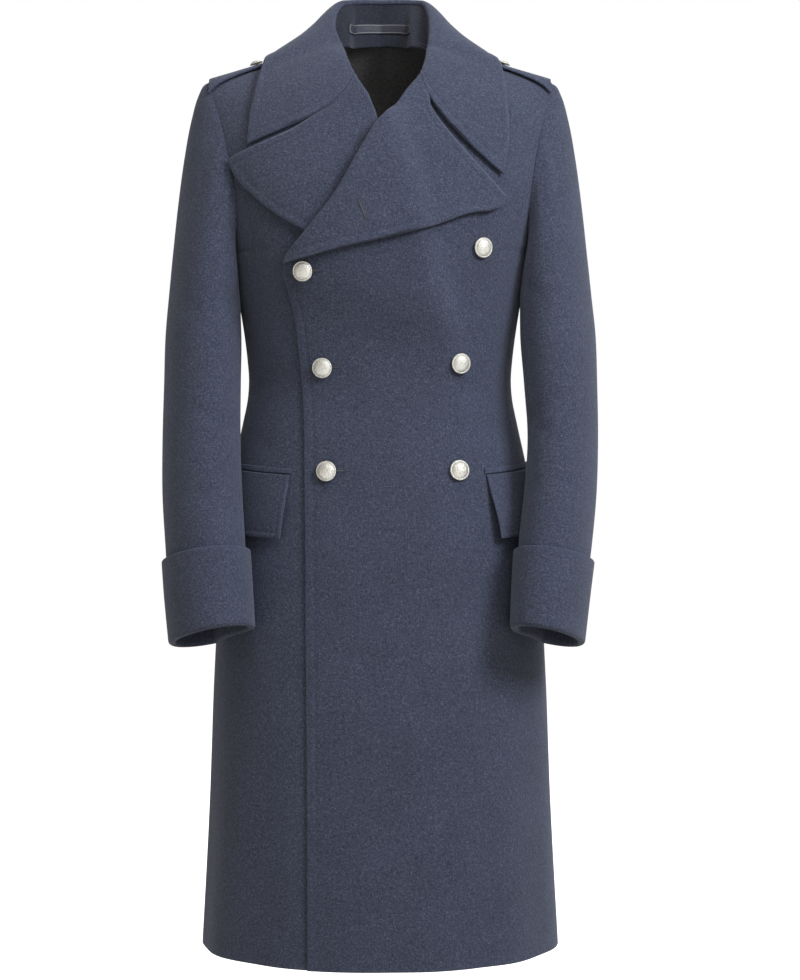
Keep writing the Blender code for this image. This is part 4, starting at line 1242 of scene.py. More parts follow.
def collar_steps():
    half = [0.0, 0.05, 0.1, 0.15, 0.2, 0.25, 0.29, 0.33, 0.37, 0.41, 0.45, 0.49, 0.53, 0.57, 0.61, 0.65]
    half += [0.69, 0.73, 0.77, 0.81, 0.85, 0.89, 0.93, 0.965, 1.0]
    return [(u, -1) for u in half[:0:-1]] + [(u, 1) for u in half]


def collar_fold(u, side):
    x = read(COLLAR_FOLD, "x_" + SIDE_NAMES[side], u)
    return np.array([side * x, read(COLLAR_FOLD, "y", u), read(COLLAR_FOLD, "z", u)])


def stand_grid():
    """The standing inner part of the collar, from the neck seam up to the fold."""
    lines = []
    for u, side in collar_steps():
        if u > STAND_END:
            continue
        seam = neck_seam(u, side)
        fold = collar_fold(u, side)
        inward = np.array([-seam[0], -seam[1], 0])
        inward /= np.linalg.norm(inward)
        foot = seam + inward * (CLOTH + LAYER_GAP + LINING_CLOTH + STAND_FOOT_IN)
        foot[2] -= STAND_FOOT_DROP
        lower = ease((u - STAND_FRONT) / STAND_FRONT_RUN)
        sunk = np.array([0, STAND_FRONT_BACK * lower, -STAND_HEAD_DROP - STAND_FRONT_DROP * lower])
        head = fold + inward * STAND_HEAD_IN + sunk
        lines.append([foot + (head - foot) * t for t in (0.0, 0.33, 0.66, 1.0)])
    return np.array(lines).transpose(1, 0, 2)


def leaf_grid(trees):
    """The turned-down part of the collar, from the fold out over the shoulders and chest."""
    rows = 14
    lines = []
    for u, side in collar_steps():
        name = SIDE_NAMES[side]
        corners = CHEST_CORNERS[side]
        fold = collar_fold(u, side)
        edge = np.array([read(COLLAR_EDGE, axis + "_" + name, u) for axis in "xyz"])
        edge[0] *= side
        away = edge - fold
        away[2] = 0
        away /= np.linalg.norm(away)
        head = fold + np.array([0, 0, DOUBLE_CLOTH + LEAF_RISE])
        drop = edge - head
        bow_1 = head + away * LEAF_BOW_OUT + np.array([0, 0, -LEAF_BOW_DROP])
        bow_2 = head + drop * LEAF_SAG[0] + np.array([0, 0, LEAF_SAG[1]])
        if u < LEAF_BACK_END:
            bow_2 = head + drop * LEAF_BACK_BOW[0] + away * LEAF_BACK_BOW[1]
        on_chest = ease((u - LEAF_CHEST[0]) / LEAF_CHEST[1])
        at_end = ease((u - LEAF_END[0]) / LEAF_END[1])
        line = []
        for r in range(rows):
            t = r / (rows - 1)
            free = bow((head, bow_1, bow_2, edge), t)
            ends = ((abs(fold[0]), fold[2]), (abs(edge[0]), edge[2]))
            flat = bow((ends[0], corners.leaf_bow_1, corners.leaf_bow_2, ends[1]), t)
            x = abs(free[0]) * (1 - at_end) + flat[0] * at_end
            z = free[2] * (1 - at_end) + flat[1] * at_end
            roll = LEAF_ROLL_RISE * math.exp(-t * ROLL_FADE)
            rest = front_point(x, min(z, ridge_z(x) - 1), LAPEL_GAP + DOUBLE_CLOTH + roll)
            y = free[1] * (1 - on_chest) + rest[1] * on_chest
            line.append(np.array([side * x, y, z]))
        lines.append(line)
    grid = np.array(lines).transpose(1, 0, 2)
    clearance = [NO_CLEARANCE] + [COLLAR_GAP + DOUBLE_CLOTH] * (rows - 1)
    return cleared(grid, trees, clearance)


def strap_grid(side):
    """A shoulder strap, sewn in at the armhole and pointed at its inner end."""
    along, across = 13, 9
    grid = np.zeros((along, across, 3))
    for r in range(along):
        t = r / (along - 1)
        half = STRAP_HALF_WIDTH_INNER + (STRAP_HALF_WIDTH_OUTER - STRAP_HALF_WIDTH_INNER) * t
        for c in range(across):
            s = -1 + 2 * c / (across - 1)
            x = STRAP_INNER_X + STRAP_POINT * abs(s) * max(0.0, 1 - 4 * t)
            x += (STRAP_OUTER_X - STRAP_INNER_X) * t
            y = half * s
            drop = (ridge_z(x) - shoulder_height(x, y)) * STRAP_ARCH
            grid[r, c] = (side * x, y, ridge_z(x) - drop + LAYER_GAP + CLOTH + STRAP_EXTRA)
    return grid


def shoulder_height(x, y):
    """Height of the body's outer face at a place near the shoulder seam."""
    wide = ring_sizes(ridge_z(x))[0]
    deep = ring_sizes(0)[1 if y <= 0 else 2]
    deep *= max(0.0, 1 - (x / wide) ** BODY_SQUARENESS) ** (1 / BODY_SQUARENESS)
    share = min(1.0, abs(y) / deep) ** CHEST_DOME
    return ARMPIT_Z + (ridge_z(x) - ARMPIT_Z) * (1 - share) ** (1 / CHEST_DOME)


def flap_grid(side, front_tree):
    """A pocket flap over the hip, standing off the front a little at its front edge."""
    rows, columns = 7, 14
    grid = np.zeros((rows, columns, 3))
    for r in range(rows):
        t = r / (rows - 1)
        front_x = FLAP_FRONT_TOP[side] * (1 - t) + FLAP_FRONT_FOOT[side] * t
        low_z = FLAP_TOP_Z - FLAP_DEPTH * t
        first = ring_angle(front_x, low_z)
        for c in range(columns):
            s = c / (columns - 1)
            off = LAYER_GAP + CLOTH + FLAP_EASE * ease(t * 3)
            off += FLAP_STANDS_OFF[side] * ease(t * 1.2) * (1 - s) ** 2
            place = ring_point(first + (FLAP_REACH_ANGLE - first) * s, low_z + FLAP_RISE * s)
            place[0] *= side
            grid[r, c] = sit_on(place, front_tree, off)
    return grid


def welt_grid(side, front_tree):
    rows, columns = 3, 14
    strip = np.zeros((rows, columns, 3))
    for r in range(rows):
        for c in range(columns):
            s = c / (columns - 1)
            z = FLAP_TOP_Z + WELT_OFFSET + WELT_DEPTH * (1 - r / (rows - 1)) + FLAP_RISE * s
            first = ring_angle(FLAP_FRONT_TOP[side] - WELT_OFFSET, z)
            place = ring_point(first + (FLAP_REACH_ANGLE - first) * s, z)
            place[0] *= side
            strip[r, c] = sit_on(place, front_tree, LAYER_GAP + WELT_CLOTH)
    return strip


def stitches_on(cloth, border, sizes):
    """Middles, directions and normals of the stitches in the row along one border."""
    off = border_distance(cloth.grid, border)
    others = [b for b in cloth.stitched if b != border]
    clear = nearest_border(cloth.grid, others)
    grid, normals = cloth.grid, cloth.normals
    if border in ("start", "end"):
        off, clear = off.T, clear.T
        grid, normals = grid.transpose(1, 0, 2), normals.transpose(1, 0, 2)
    if border in ("foot", "end"):
        off, clear, grid, normals = off[::-1], clear[::-1], grid[::-1], normals[::-1]
    line, facing = [], []
    for c in range(grid.shape[1]):
        along = off[:, c]
        if along[-1] < cloth.inset or np.interp(cloth.inset, along, clear[:, c]) < cloth.inset * 0.98:
            continue
        line.append(on_line(cloth.inset, along, grid[:, c]))
        facing.append(on_line(cloth.inset, along, normals[:, c]))
    if len(line) < 3:
        return None
    line, facing = np.array(line), np.array(facing)
    lengths = line_lengths(line)
    at = np.arange(0.5, int(lengths[-1] / (sizes.stitch_pitch / MM))) * sizes.stitch_pitch / MM
    half = sizes.stitch_length / MM / 2
    start, middle, end = (on_line(where, lengths, line) for where in (at - half, at, at + half))
    return start, middle, end, on_line(at, lengths, facing)


def add_stitches(name, rows, sizes, finish):
    """One mesh of small thread lozenges for several rows of stitches."""
    start, middle, end, normal = (np.concatenate(parts) for parts in zip(*rows))
    along = end - start
    along /= np.linalg.norm(along, axis=1, keepdims=True)
    across = np.cross(along, normal)
    half = sizes.thread_width / MM / 2
    sink = normal * THREAD_SINK
    crown = middle + normal * half * 1.1 - sink
    points = np.stack(
        [start - sink, end - sink, crown, middle + across * half - sink, middle - across * half - sink,
         middle - normal * half - sink], 1
    ).reshape(-1, 3)
    pattern = np.array(
        [[0, 3, 2], [0, 2, 4], [0, 4, 5], [0, 5, 3], [1, 2, 3], [1, 4, 2], [1, 5, 4], [1, 3, 5]]
    )
    faces = (pattern[None] + 6 * np.arange(len(start))[:, None, None]).reshape(-1, 3)
    a, b, c = (points[faces[:8, k]] for k in range(3))
    centre = points[:6].mean(axis=0)
    if ((a - centre) * np.cross(b - centre, c - centre)).sum() < 0:
        faces = faces[:, ::-1]
    mesh = bpy.data.meshes.new(name)
    mesh.from_pydata((points * MM).tolist(), [], faces.tolist())
    mesh.materials.append(finish)
    made = link_mesh(name, mesh)
    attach(made, "root")
    return made


def coat_front(x, z, out):
    """A point on the left front over its soft folds, and the way it faces."""
    place = draped(front_point(x, z, overlap_lift(x, z))[None])[0]
    normal = front_normal(x, z)
    return place + normal * out, normal


def on_cloth(cloth):
    """A finder of points on a cloth's face, seen from the front."""
    tree = surface_tree([cloth.grid])

    def point(x, z, out):
        place, normal, _, _ = tree.ray_cast(Vector((x, -400, z)), Vector((0, 1, 0)))
        if place is None:
            raise RuntimeError(cloth.name + " has no face at a buttonhole")
        normal = np.array(normal)
        normal *= -math.copysign(1, normal[1])
        return np.array(place) + normal * out, normal

    return point


def add_buttonhole(name, surface, place, angle, length, finishes):
    """A worked buttonhole: a purled ring of thread round a dark slit."""
    x, z = place
    out = BUTTONHOLE_OUT
    count, sides = PURL_POINTS, 6
    half = length / 2
    ring, core = [], []
    lean = np.array([math.cos(math.radians(angle)), math.sin(math.radians(angle))])
    over = np.array([-lean[1], lean[0]])
    for k in range(count):
        turned = 2 * math.pi * k / count
        flat = lean * (half * math.copysign(abs(math.cos(turned)) ** 0.75, math.cos(turned)))
        swing = math.copysign(abs(math.sin(turned)) ** 0.5, math.sin(turned))
        flat = flat + over * BUTTONHOLE_HALF_WIDTH * swing
        middle, normal = surface(x + flat[0], z + flat[1], out)
        outwards = np.array([flat[0], 0, flat[1]]) / max(1e-6, np.hypot(*flat))
        away = np.array([over[0], 0, over[1]]) * math.copysign(1, math.sin(turned)) + outwards * PURL_LEAN
        away /= np.linalg.norm(away)
        thick = PURL_RADIUS + PURL_SWELL * (k % 2)
        for s in range(sides):
            around = 2 * math.pi * s / sides
            ring.append(middle + (away * math.cos(around) + normal * math.sin(around)) * thick)
        core.append(surface(x + flat[0] * SLIT_SHARE, z + flat[1] * SLIT_SHARE, out + THREAD_SINK)[0])
    faces = []
    for k in range(count):
        for s in range(sides):
            a, b = k * sides + s, k * sides + (s + 1) % sides
            c, d = ((k + 1) % count) * sides + (s + 1) % sides, ((k + 1) % count) * sides + s
            faces.append((a, b, c, d))
    points = np.array(ring)
    first = len(points)
    centre, normal = surface(x, z, out + THREAD_SINK)
    lower = np.array(core) - normal * SLIT_DEPTH
    points = np.concatenate([points, core, [centre], lower, [centre - normal * SLIT_DEPTH]])
    slit_faces = []
    for k in range(count):
        a, b = first + k, first + (k + 1) % count
        low_a, low_b = a + count + 1, b + count + 1
        slit_faces.append((a, b, first + count))
        slit_faces.append((low_b, low_a, first + 2 * count + 1))
        slit_faces.append((b, a, low_a, low_b))
    mesh = bpy.data.meshes.new(name)
    mesh.from_pydata((points * MM).tolist(), [], faces + slit_faces)
    for finish in finishes:
        mesh.materials.append(finish)
    which = np.array([0] * len(faces) + [1] * len(slit_faces), np.int32)
    mesh.polygons.foreach_set("material_index", which)
    mesh.shade_smooth()
    made = link_mesh(name, mesh)
    point_outwards(made)
    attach(made, "root")
    return made


def deselect_all():
    for item in list(bpy.context.selected_objects):
        item.select_set(False)


def point_outwards(item):
    """Turn all faces of a closed piece outwards with the edit-mode operator."""
    deselect_all()
    bpy.context.view_layer.objects.active = item
    item.select_set(True)
    bpy.ops.object.mode_set(mode="EDIT")
    bpy.ops.mesh.select_all(action="SELECT")
    bpy.ops.mesh.normals_make_consistent(inside=False)
    bpy.ops.object.mode_set(mode="OBJECT")
    item.select_set(False)


def choose_faces(item, wanted):
    """Select in edit mode the faces that wanted() is true for."""
    bpy.ops.mesh.select_all(action="DESELECT")
    bpy.ops.object.mode_set(mode="OBJECT")
    for face in item.data.polygons:
        face.select = wanted(face)
    bpy.ops.object.mode_set(mode="EDIT")
    bpy.ops.mesh.select_mode(type="FACE")


def model_button():
    """A full-domed button with a narrow milled rim and a shank, in millimetres round the origin."""
    deselect_all()
    bpy.ops.mesh.primitive_cylinder_add(
        vertices=BUTTON_SIDES, radius=BUTTON_RADIUS, depth=1.5, location=(0, 0, 3.4)
    )
    item = bpy.context.active_object
    item.name = "button_model"
    bpy.ops.object.transform_apply(location=True, rotation=True, scale=True)
    bpy.ops.object.mode_set(mode="EDIT")
    choose_faces(item, lambda face: abs(face.normal.z) < 0.5 and face.index % 2 == 0)
    bpy.ops.mesh.inset(thickness=0.22, depth=0.28, use_individual=True)
    choose_faces(item, lambda face: face.normal.z > 0.9 and len(face.vertices) == BUTTON_SIDES)
    for thickness, rise in BUTTON_RIM + BUTTON_DOME:
        bpy.ops.mesh.inset(thickness=thickness, depth=rise)
    choose_faces(item, lambda face: face.normal.z < -0.9 and len(face.vertices) == BUTTON_SIDES)
    for thickness, rise in BUTTON_SHANK:
        bpy.ops.mesh.inset(thickness=thickness, depth=rise)
    bpy.ops.object.mode_set(mode="OBJECT")
    bevel = item.modifiers.new("soft corners", "BEVEL")
    bevel.width = 0.12
    bevel.segments = 2
    bevel.limit_method = "ANGLE"
    bevel.angle_limit = math.radians(32)
    bpy.ops.object.modifier_apply(modifier=bevel.name)
    bpy.ops.object.shade_smooth_by_angle(angle=math.radians(40))
    return item


def place_button(model, name, place, facing, radius, finish):
    """A copy of the button, turned to face out and with its place in its mesh."""
    item = model.copy()
    item.data = model.data.copy()
    item.name = name + "_metal"
    item.data.name = item.name
    bpy.context.scene.collection.objects.link(item)
    turn = Vector(facing).to_track_quat("Z", "Y").to_matrix().to_4x4()
    size = Matrix.Scale(radius / BUTTON_RADIUS * MM, 4)
    item.data.transform(Matrix.Translation(Vector(place) * MM) @ turn @ size)
    item.data.materials.clear()
    item.data.materials.append(finish)
    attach(item, "root")
    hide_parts(name)
    return item


def new_group(name, inputs, outputs):
    """An empty shader node group with named sockets."""
    group = bpy.data.node_groups.new(name, "ShaderNodeTree")
    for label, kind, value in inputs:
        socket = group.interface.new_socket(name=label, in_out="INPUT", socket_type=kind)
        if value is not None:
            socket.default_value = value
    for label, kind in outputs:
        group.interface.new_socket(name=label, in_out="OUTPUT", socket_type=kind)
    return group, group.nodes.new("NodeGroupInput"), group.nodes.new("NodeGroupOutput")


class Wires:
    """Small helpers to add nodes to one tree and join them."""

    def __init__(self, tree):
        self.tree = tree

    def add(self, kind, **settings):
        node = self.tree.nodes.new(kind)
        for key, value in settings.items():
            setattr(node, key, value)
        return node

    def join(self, source, target):
        self.tree.links.new(source, target)

    def noise(self, vector, scale, detail=3.0, rough=0.6):
        node = self.add("ShaderNodeTexNoise")
        node.inputs["Scale"].default_value = scale
        node.inputs["Detail"].default_value = detail
        node.inputs["Roughness"].default_value = rough
        self.join(vector, node.inputs["Vector"])
        return node.outputs["Fac"]

    def stretched(self, vector, turn, size):
        node = self.add("ShaderNodeMapping")
        node.inputs["Rotation"].default_value = turn
        node.inputs["Scale"].default_value = size
        self.join(vector, node.inputs["Vector"])
        return node.outputs["Vector"]

    def maths(self, operation, first, second=None, third=None):
        node = self.add("ShaderNodeMath", operation=operation)
        for socket, value in zip(node.inputs, (first, second, third)):
            if value is None:
                continue
            if isinstance(value, (int, float)):
                socket.default_value = value
            else:
                self.join(value, socket)
        return node.outputs[0]

    def remap(self, value, low, high, to_low=0.0, to_high=1.0):
        node = self.add("ShaderNodeMapRange", interpolation_type="SMOOTHSTEP")
        for label, number in (("From Min", low), ("From Max", high), ("To Min", to_low), ("To Max", to_high)):
            node.inputs[label].default_value = number
        self.join(value, node.inputs["Value"])
        return node.outputs["Result"]

    def mix(self, factor, first, second, blend="MIX"):
        node = self.add("ShaderNodeMix", data_type="RGBA", blend_type=blend)
        for index, value in ((0, factor), (6, first), (7, second)):
            socket = node.inputs[index]
            if isinstance(value, bpy.types.NodeSocket):
                self.join(value, socket)
            elif index == 0:
                socket.default_value = value
            else:
                socket.default_value = (*value[:3], 1)
        return node.outputs[2]


def heather_group():
    """Felted wool spun from fibres of several tones: its colour and its nap."""
    group, given, result = new_group(
        "Heather wool",
        [
            ("Position", "NodeSocketVector", None),
            ("Middle", "NodeSocketColor", (0.06, 0.07, 0.11, 1)),
            ("Light", "NodeSocketColor", (0.2, 0.2, 0.25, 1)),
            ("Dark", "NodeSocketColor", (0.02, 0.02, 0.03, 1)),
        ],
        [("Colour", "NodeSocketColor"), ("Height", "NodeSocketFloat")],
    )
    w = Wires(group)
    position = given.outputs["Position"]
    specks = w.noise(position, 880, 2.0, 0.65)
    clumps = w.noise(position, 340, 3.0, 0.6)
    clouds = w.noise(position, 14, 4.0, 0.55)
    down_fibre = w.noise(w.stretched(position, (0.0, 0.5, 0.3), (1.0, 1.0, 0.22)), 900, 2.0, 0.6)
    cross_fibre = w.noise(w.stretched(position, (0.4, -0.7, 0.9), (0.25, 1.0, 1.0)), 820, 2.0, 0.6)
    fibres = w.maths("MAXIMUM", down_fibre, cross_fibre)
    light = w.maths("MULTIPLY", w.remap(specks, 0.5, 0.72), w.remap(fibres, 0.42, 0.66))
    light = w.maths("MULTIPLY_ADD", w.remap(clumps, 0.5, 0.72), 0.34, light)
    dark = w.remap(w.maths("MINIMUM", specks, clumps), 0.3, 0.48, 0.75, 0.0)
    colour = w.mix(dark, given.outputs["Middle"], given.outputs["Dark"])
    colour = w.mix(light, colour, given.outputs["Light"])
    shade = w.remap(clouds, 0.3, 0.7, 0.94, 1.06)
    tint = w.add("ShaderNodeCombineColor")
    for socket in tint.inputs:
        w.join(shade, socket)
    colour = w.mix(1.0, colour, tint.outputs[0], "MULTIPLY")
    height = w.maths("MULTIPLY_ADD", clumps, 0.8, w.maths("MULTIPLY", fibres, 0.5))
    height = w.maths("MULTIPLY_ADD", specks, 0.5, height)
    w.join(colour, result.inputs["Colour"])
    w.join(height, result.inputs["Height"])
    return group


def edge_highlight_group():
    """Painted highlight along an edge: strongest at the edge, broken up unevenly."""
    group, given, result = new_group(
        "Painted edge highlight",
        [
            ("Position", "NodeSocketVector", None),
            ("Distance", "NodeSocketFloat", 1.0),
            ("Reach", "NodeSocketFloat", 0.004),
            ("Strength", "NodeSocketFloat", 0.5),
        ],
        [("Mask", "NodeSocketFloat")],
    )
    w = Wires(group)
    near = w.maths("DIVIDE", given.outputs["Distance"], given.outputs["Reach"])
    near = w.maths("EXPONENT", w.maths("MULTIPLY", near, -1.0))
    broken = w.remap(w.noise(given.outputs["Position"], 60, 3.0), 0.35, 0.65, 0.35, 1.0)
    mask = w.maths("MULTIPLY", w.maths("MULTIPLY", near, broken), given.outputs["Strength"])
    w.join(mask, result.inputs["Mask"])
    return group


def twill_group():
    """Fine diagonal ribs of a woven lining or tape, from the cloth's own map."""
    group, given, result = new_group(
        "Fine twill",
        [("Map", "NodeSocketVector", None), ("Rib", "NodeSocketFloat", 1800.0)],
        [("Height", "NodeSocketFloat"), ("Mask", "NodeSocketFloat")],
    )
    w = Wires(group)
    parts = w.add("ShaderNodeSeparateXYZ")
    w.join(given.outputs["Map"], parts.inputs[0])
    diagonal = w.maths("ADD", parts.outputs[0], parts.outputs[1])
    ribs = w.maths("SINE", w.maths("MULTIPLY", diagonal, given.outputs["Rib"]))
    soft = w.noise(given.outputs["Map"], 260, 3.0)
    height = w.maths("MULTIPLY_ADD", ribs, 0.35, soft)
    w.join(height, result.inputs["Height"])
    w.join(w.remap(soft, 0.3, 0.7), result.inputs["Mask"])
    return group


def cast_group():
    """Cast and polished metal: tarnish in small blotches, fine scratches and pits."""
    group, given, result = new_group(
        "Cast metal",
        [("Position", "NodeSocketVector", None), ("Scale", "NodeSocketFloat", 900.0)],
        [("Height", "NodeSocketFloat"), ("Tarnish", "NodeSocketFloat"), ("Scratch", "NodeSocketFloat")],
    )
    w = Wires(group)
    blotch = w.add("ShaderNodeTexNoise")
    blotch.inputs["Detail"].default_value = 3.0
    w.join(given.outputs["Position"], blotch.inputs["Vector"])
    w.join(given.outputs["Scale"], blotch.inputs["Scale"])
    fine = w.noise(given.outputs["Position"], 4200, 2.0)
    streak = w.noise(w.stretched(given.outputs["Position"], (0.3, 0.5, 0.2), (1.0, 1.0, 0.08)), 3000, 1.0)
    cells = w.add("ShaderNodeTexVoronoi", feature="SMOOTH_F1")
    cells.inputs["Scale"].default_value = 560
    w.join(given.outputs["Position"], cells.inputs["Vector"])
    rough = w.maths("MULTIPLY_ADD", fine, 0.3, blotch.outputs["Fac"])
    w.join(w.maths("MULTIPLY_ADD", cells.outputs["Distance"], 1.6, rough), result.inputs["Height"])
    w.join(w.remap(blotch.outputs["Fac"], 0.45, 0.72), result.inputs["Tarnish"])
    w.join(w.remap(streak, 0.6, 0.75), result.inputs["Scratch"])
    return group


def shared_group(name, builder):
    return bpy.data.node_groups.get(name) or builder()


def new_material(name):
    made = bpy.data.materials.new(name)
    made.use_nodes = True
    tree = made.node_tree
    shader = tree.nodes["Principled BSDF"]
    return made, Wires(tree), shader


def place_group(w, name, builder):
    return w.add("ShaderNodeGroup", node_tree=shared_group(name, builder))


def bump(w, height, distance, shader):
    node = w.add("ShaderNodeBump")
    node.inputs["Distance"].default_value = distance
    node.inputs["Strength"].default_value = 1.0
    w.join(height, node.inputs["Height"])
    w.join(node.outputs["Normal"], shader.inputs["Normal"])


def wool_material(name="greatcoat wool", painted_shade_factor=1.0):
    """Heathered melton with a soft nap, a painted highlight along its edges, and a factor for painted shade.
    """
    if name in bpy.data.materials:
        return bpy.data.materials[name]
    colours = bpy.context.scene.greatcoat_colours
    sizes = bpy.context.scene.greatcoat_sizes
    made, w, shader = new_material(name)
    position = w.add("ShaderNodeTexCoord").outputs["Object"]
    heather = place_group(w, "Heather wool", heather_group)
    w.join(position, heather.inputs["Position"])
    tones = {"Middle": colours.wool, "Light": colours.wool_light, "Dark": colours.wool_dark}
    # A factor below 1 darkens every tone of the wool: painted shade
    for label, colour in tones.items():
        heather.inputs[label].default_value = (*[channel * painted_shade_factor for channel in colour], 1)
    edge_highlight = place_group(w, "Painted edge highlight", edge_highlight_group)
    w.join(position, edge_highlight.inputs["Position"])
    distance = w.add("ShaderNodeAttribute", attribute_name="edge_distance")
    w.join(distance.outputs["Fac"], edge_highlight.inputs["Distance"])
    edge_highlight.inputs["Reach"].default_value = 0.0035
    edge_highlight.inputs["Strength"].default_value = 0.32
    # Paler wool near the edges: a painted highlight where the rounded edges catch the light
    painted_highlight_colour = [min(1.0, channel * 1.9 * painted_shade_factor) for channel in colours.wool]
    colour = w.mix(edge_highlight.outputs["Mask"], heather.outputs["Colour"], painted_highlight_colour)
    w.join(colour, shader.inputs["Base Color"])
    w.join(w.remap(heather.outputs["Height"], 0.4, 1.2, 0.98, 0.86), shader.inputs["Roughness"])
    shader.inputs["Sheen Weight"].default_value = 0.22
    shader.inputs["Sheen Roughness"].default_value = 0.55
    shader.inputs["Sheen Tint"].default_value = (0.72, 0.78, 0.95, 1)
    shader.inputs["Specular IOR Level"].default_value = 0.25
    bump(w, heather.outputs["Height"], sizes.nap_height, shader)
    return made


def thread_material():
    """Sewing thread in the wool's own tone, a little darker."""
    if "coat thread" in bpy.data.materials:
        return bpy.data.materials["coat thread"]
    colours = bpy.context.scene.greatcoat_colours
    made, w, shader = new_material("coat thread")
    position = w.add("ShaderNodeTexCoord").outputs["Object"]
    tone = w.noise(position, 1500, 2.0)
    dark = [channel * 0.45 for channel in colours.wool]
    pale = [channel * 0.95 for channel in colours.wool]
    w.join(w.mix(w.remap(tone, 0.35, 0.65), dark, pale), shader.inputs["Base Color"])
    w.join(w.remap(tone, 0.3, 0.7, 0.5, 0.75), shader.inputs["Roughness"])
    bump(w, tone, 0.0001, shader)
    return made


def lining_material():
    """Dark satin lining with fine twill ribs."""
    if "lining satin" in bpy.data.materials:
        return bpy.data.materials["lining satin"]
    colours = bpy.context.scene.greatcoat_colours
    made, w, shader = new_material("lining satin")
    twill = place_group(w, "Fine twill", twill_group)
    w.join(w.add("ShaderNodeTexCoord").outputs["UV"], twill.inputs["Map"])
    pale = [channel * 1.8 for channel in colours.lining]
    w.join(w.mix(twill.outputs["Mask"], colours.lining, pale), shader.inputs["Base Color"])
    w.join(w.remap(twill.outputs["Height"], 0.2, 1.2, 0.62, 0.42), shader.inputs["Roughness"])
    shader.inputs["Sheen Weight"].default_value = 0.1
    bump(w, twill.outputs["Height"], 0.00015, shader)
    return made


def label_material():
    """Blank woven label with a paler woven border."""
    made, w, shader = new_material("label weave")
    twill = place_group(w, "Fine twill", twill_group)
    w.join(w.add("ShaderNodeTexCoord").outputs["UV"], twill.inputs["Map"])
    twill.inputs["Rib"].default_value = 5200.0
    distance = w.add("ShaderNodeAttribute", attribute_name="edge_distance")
    inner = w.remap(distance.outputs["Fac"], 0.0009, 0.0011)
    outer = w.remap(distance.outputs["Fac"], 0.0016, 0.0018, 1.0, 0.0)
    border = w.maths("MULTIPLY", inner, outer)
    ground = w.mix(twill.outputs["Mask"], (0.024, 0.027, 0.042), (0.036, 0.04, 0.06))
    w.join(w.mix(border, ground, (0.22, 0.225, 0.24)), shader.inputs["Base Color"])
    w.join(w.remap(twill.outputs["Height"], 0.2, 1.2, 0.7, 0.5), shader.inputs["Roughness"])
    bump(w, twill.outputs["Height"], 0.0001, shader)
    return made


def metal_material():
    """Pale cast metal, a little tarnished between its high places."""
    colours = bpy.context.scene.greatcoat_colours
    made, w, shader = new_material("button pale metal")
    position = w.add("ShaderNodeTexCoord").outputs["Object"]
    cast = place_group(w, "Cast metal", cast_group)
    w.join(position, cast.inputs["Position"])
    dull = [channel * 0.72 for channel in colours.metal]
    colour = w.mix(cast.outputs["Tarnish"], colours.metal, dull)
    w.join(colour, shader.inputs["Base Color"])
    rough = w.maths("MULTIPLY_ADD", cast.outputs["Tarnish"], 0.14, 0.44)
    w.join(w.maths("MULTIPLY_ADD", cast.outputs["Scratch"], -0.08, rough), shader.inputs["Roughness"])
    shader.inputs["Metallic"].default_value = 0.6
    bump(w, cast.outputs["Height"], 0.00035, shader)
    return made


def floor_material():
    colours = bpy.context.scene.greatcoat_colours
    made, w, shader = new_material("studio floor")
    tone = w.noise(w.add("ShaderNodeTexCoord").outputs["Object"], 3, 2.0)
    pale = [min(1.0, channel * 1.03) for channel in colours.floor]
    w.join(w.mix(tone, colours.floor, pale), shader.inputs["Base Color"])
    shader.inputs["Roughness"].default_value = 0.9
    shader.inputs["Emission Color"].default_value = (1, 1, 1, 1)
    shader.inputs["Emission Strength"].default_value = FLOOR_GLOW
    return made


forms = {}


def body_forms():
    """Fine cloth forms of the body panels, and the faces that other pieces keep clear of."""
    if "trees" in forms:
        return forms
    sizes = bpy.context.scene.greatcoat_sizes
    inset = sizes.stitch_inset / MM
    coarse = {}
    for side, name in SIDES:
        coarse["front_" + name] = front_grid(side)
        coarse["back_" + name] = back_grid(side)
        front = refine(coarse["front_" + name], (6, 6), (inset + 5, 5))
        back = refine(coarse["back_" + name], (6, 6), (5, 5))
        forms["front_" + name] = Cloth(
            "front_" + name + "_wool", draped(front), middle_of(front), edges=("top", "start"),
            stitched=("start",), inset=inset
        )
        forms["back_" + name] = Cloth("back_" + name + "_wool", draped(back), middle_of(back), edges=("top",))
        for kind in ("front_", "back_"):
            cloth = forms[kind + name]
            cloth.normals = seam_normals(cloth.grid, cloth.normals, kind == "back_")
    forms["coarse"] = coarse
    forms["trees"] = [surface_tree(list(coarse.values()))]
    return forms


def leaf_form(inset):
    """The collar's leaf, fine, worked out once."""
    if "leaf" not in forms:
        straps = [surface_tree([strap_grid(side)]) for side, _ in SIDES]
        coarse = leaf_grid(body_forms()["trees"] + straps)
        forms["leaf"] = refine(coarse, (3, inset + 4), (inset + 4, inset + 4), 5.5)
    return forms["leaf"]


def seam_normals(grid, normals, centre_seam):
    """Keep the normals along a seam in the seam's own plane, so that both sides of it match."""
    fixed = normals.copy()
    fixed[np.abs(grid[..., 1]) < ON_SEAM, 1] = 0.0
    if centre_seam:
        fixed[:, 0, 0] = 0.0
    return fixed / np.linalg.norm(fixed, axis=2, keepdims=True)


class GREATCOAT_OT_fronts(bpy.types.Operator):
    """Make the two overlapping fronts"""

    bl_idname = "greatcoat.fronts"
    bl_label = "Fronts"

    def execute(self, context):
        for _, name in SIDES:
            cloth = body_forms()["front_" + name].sew()
            dress(cloth, "front_" + name, wool_material())
        return {"FINISHED"}


class GREATCOAT_OT_backs(bpy.types.Operator):
    """Make the two halves of the back"""

    bl_idname = "greatcoat.backs"
    bl_label = "Backs"

    def execute(self, context):
        for _, name in SIDES:
            dress(body_forms()["back_" + name], "back_" + name, wool_material())
        return {"FINISHED"}


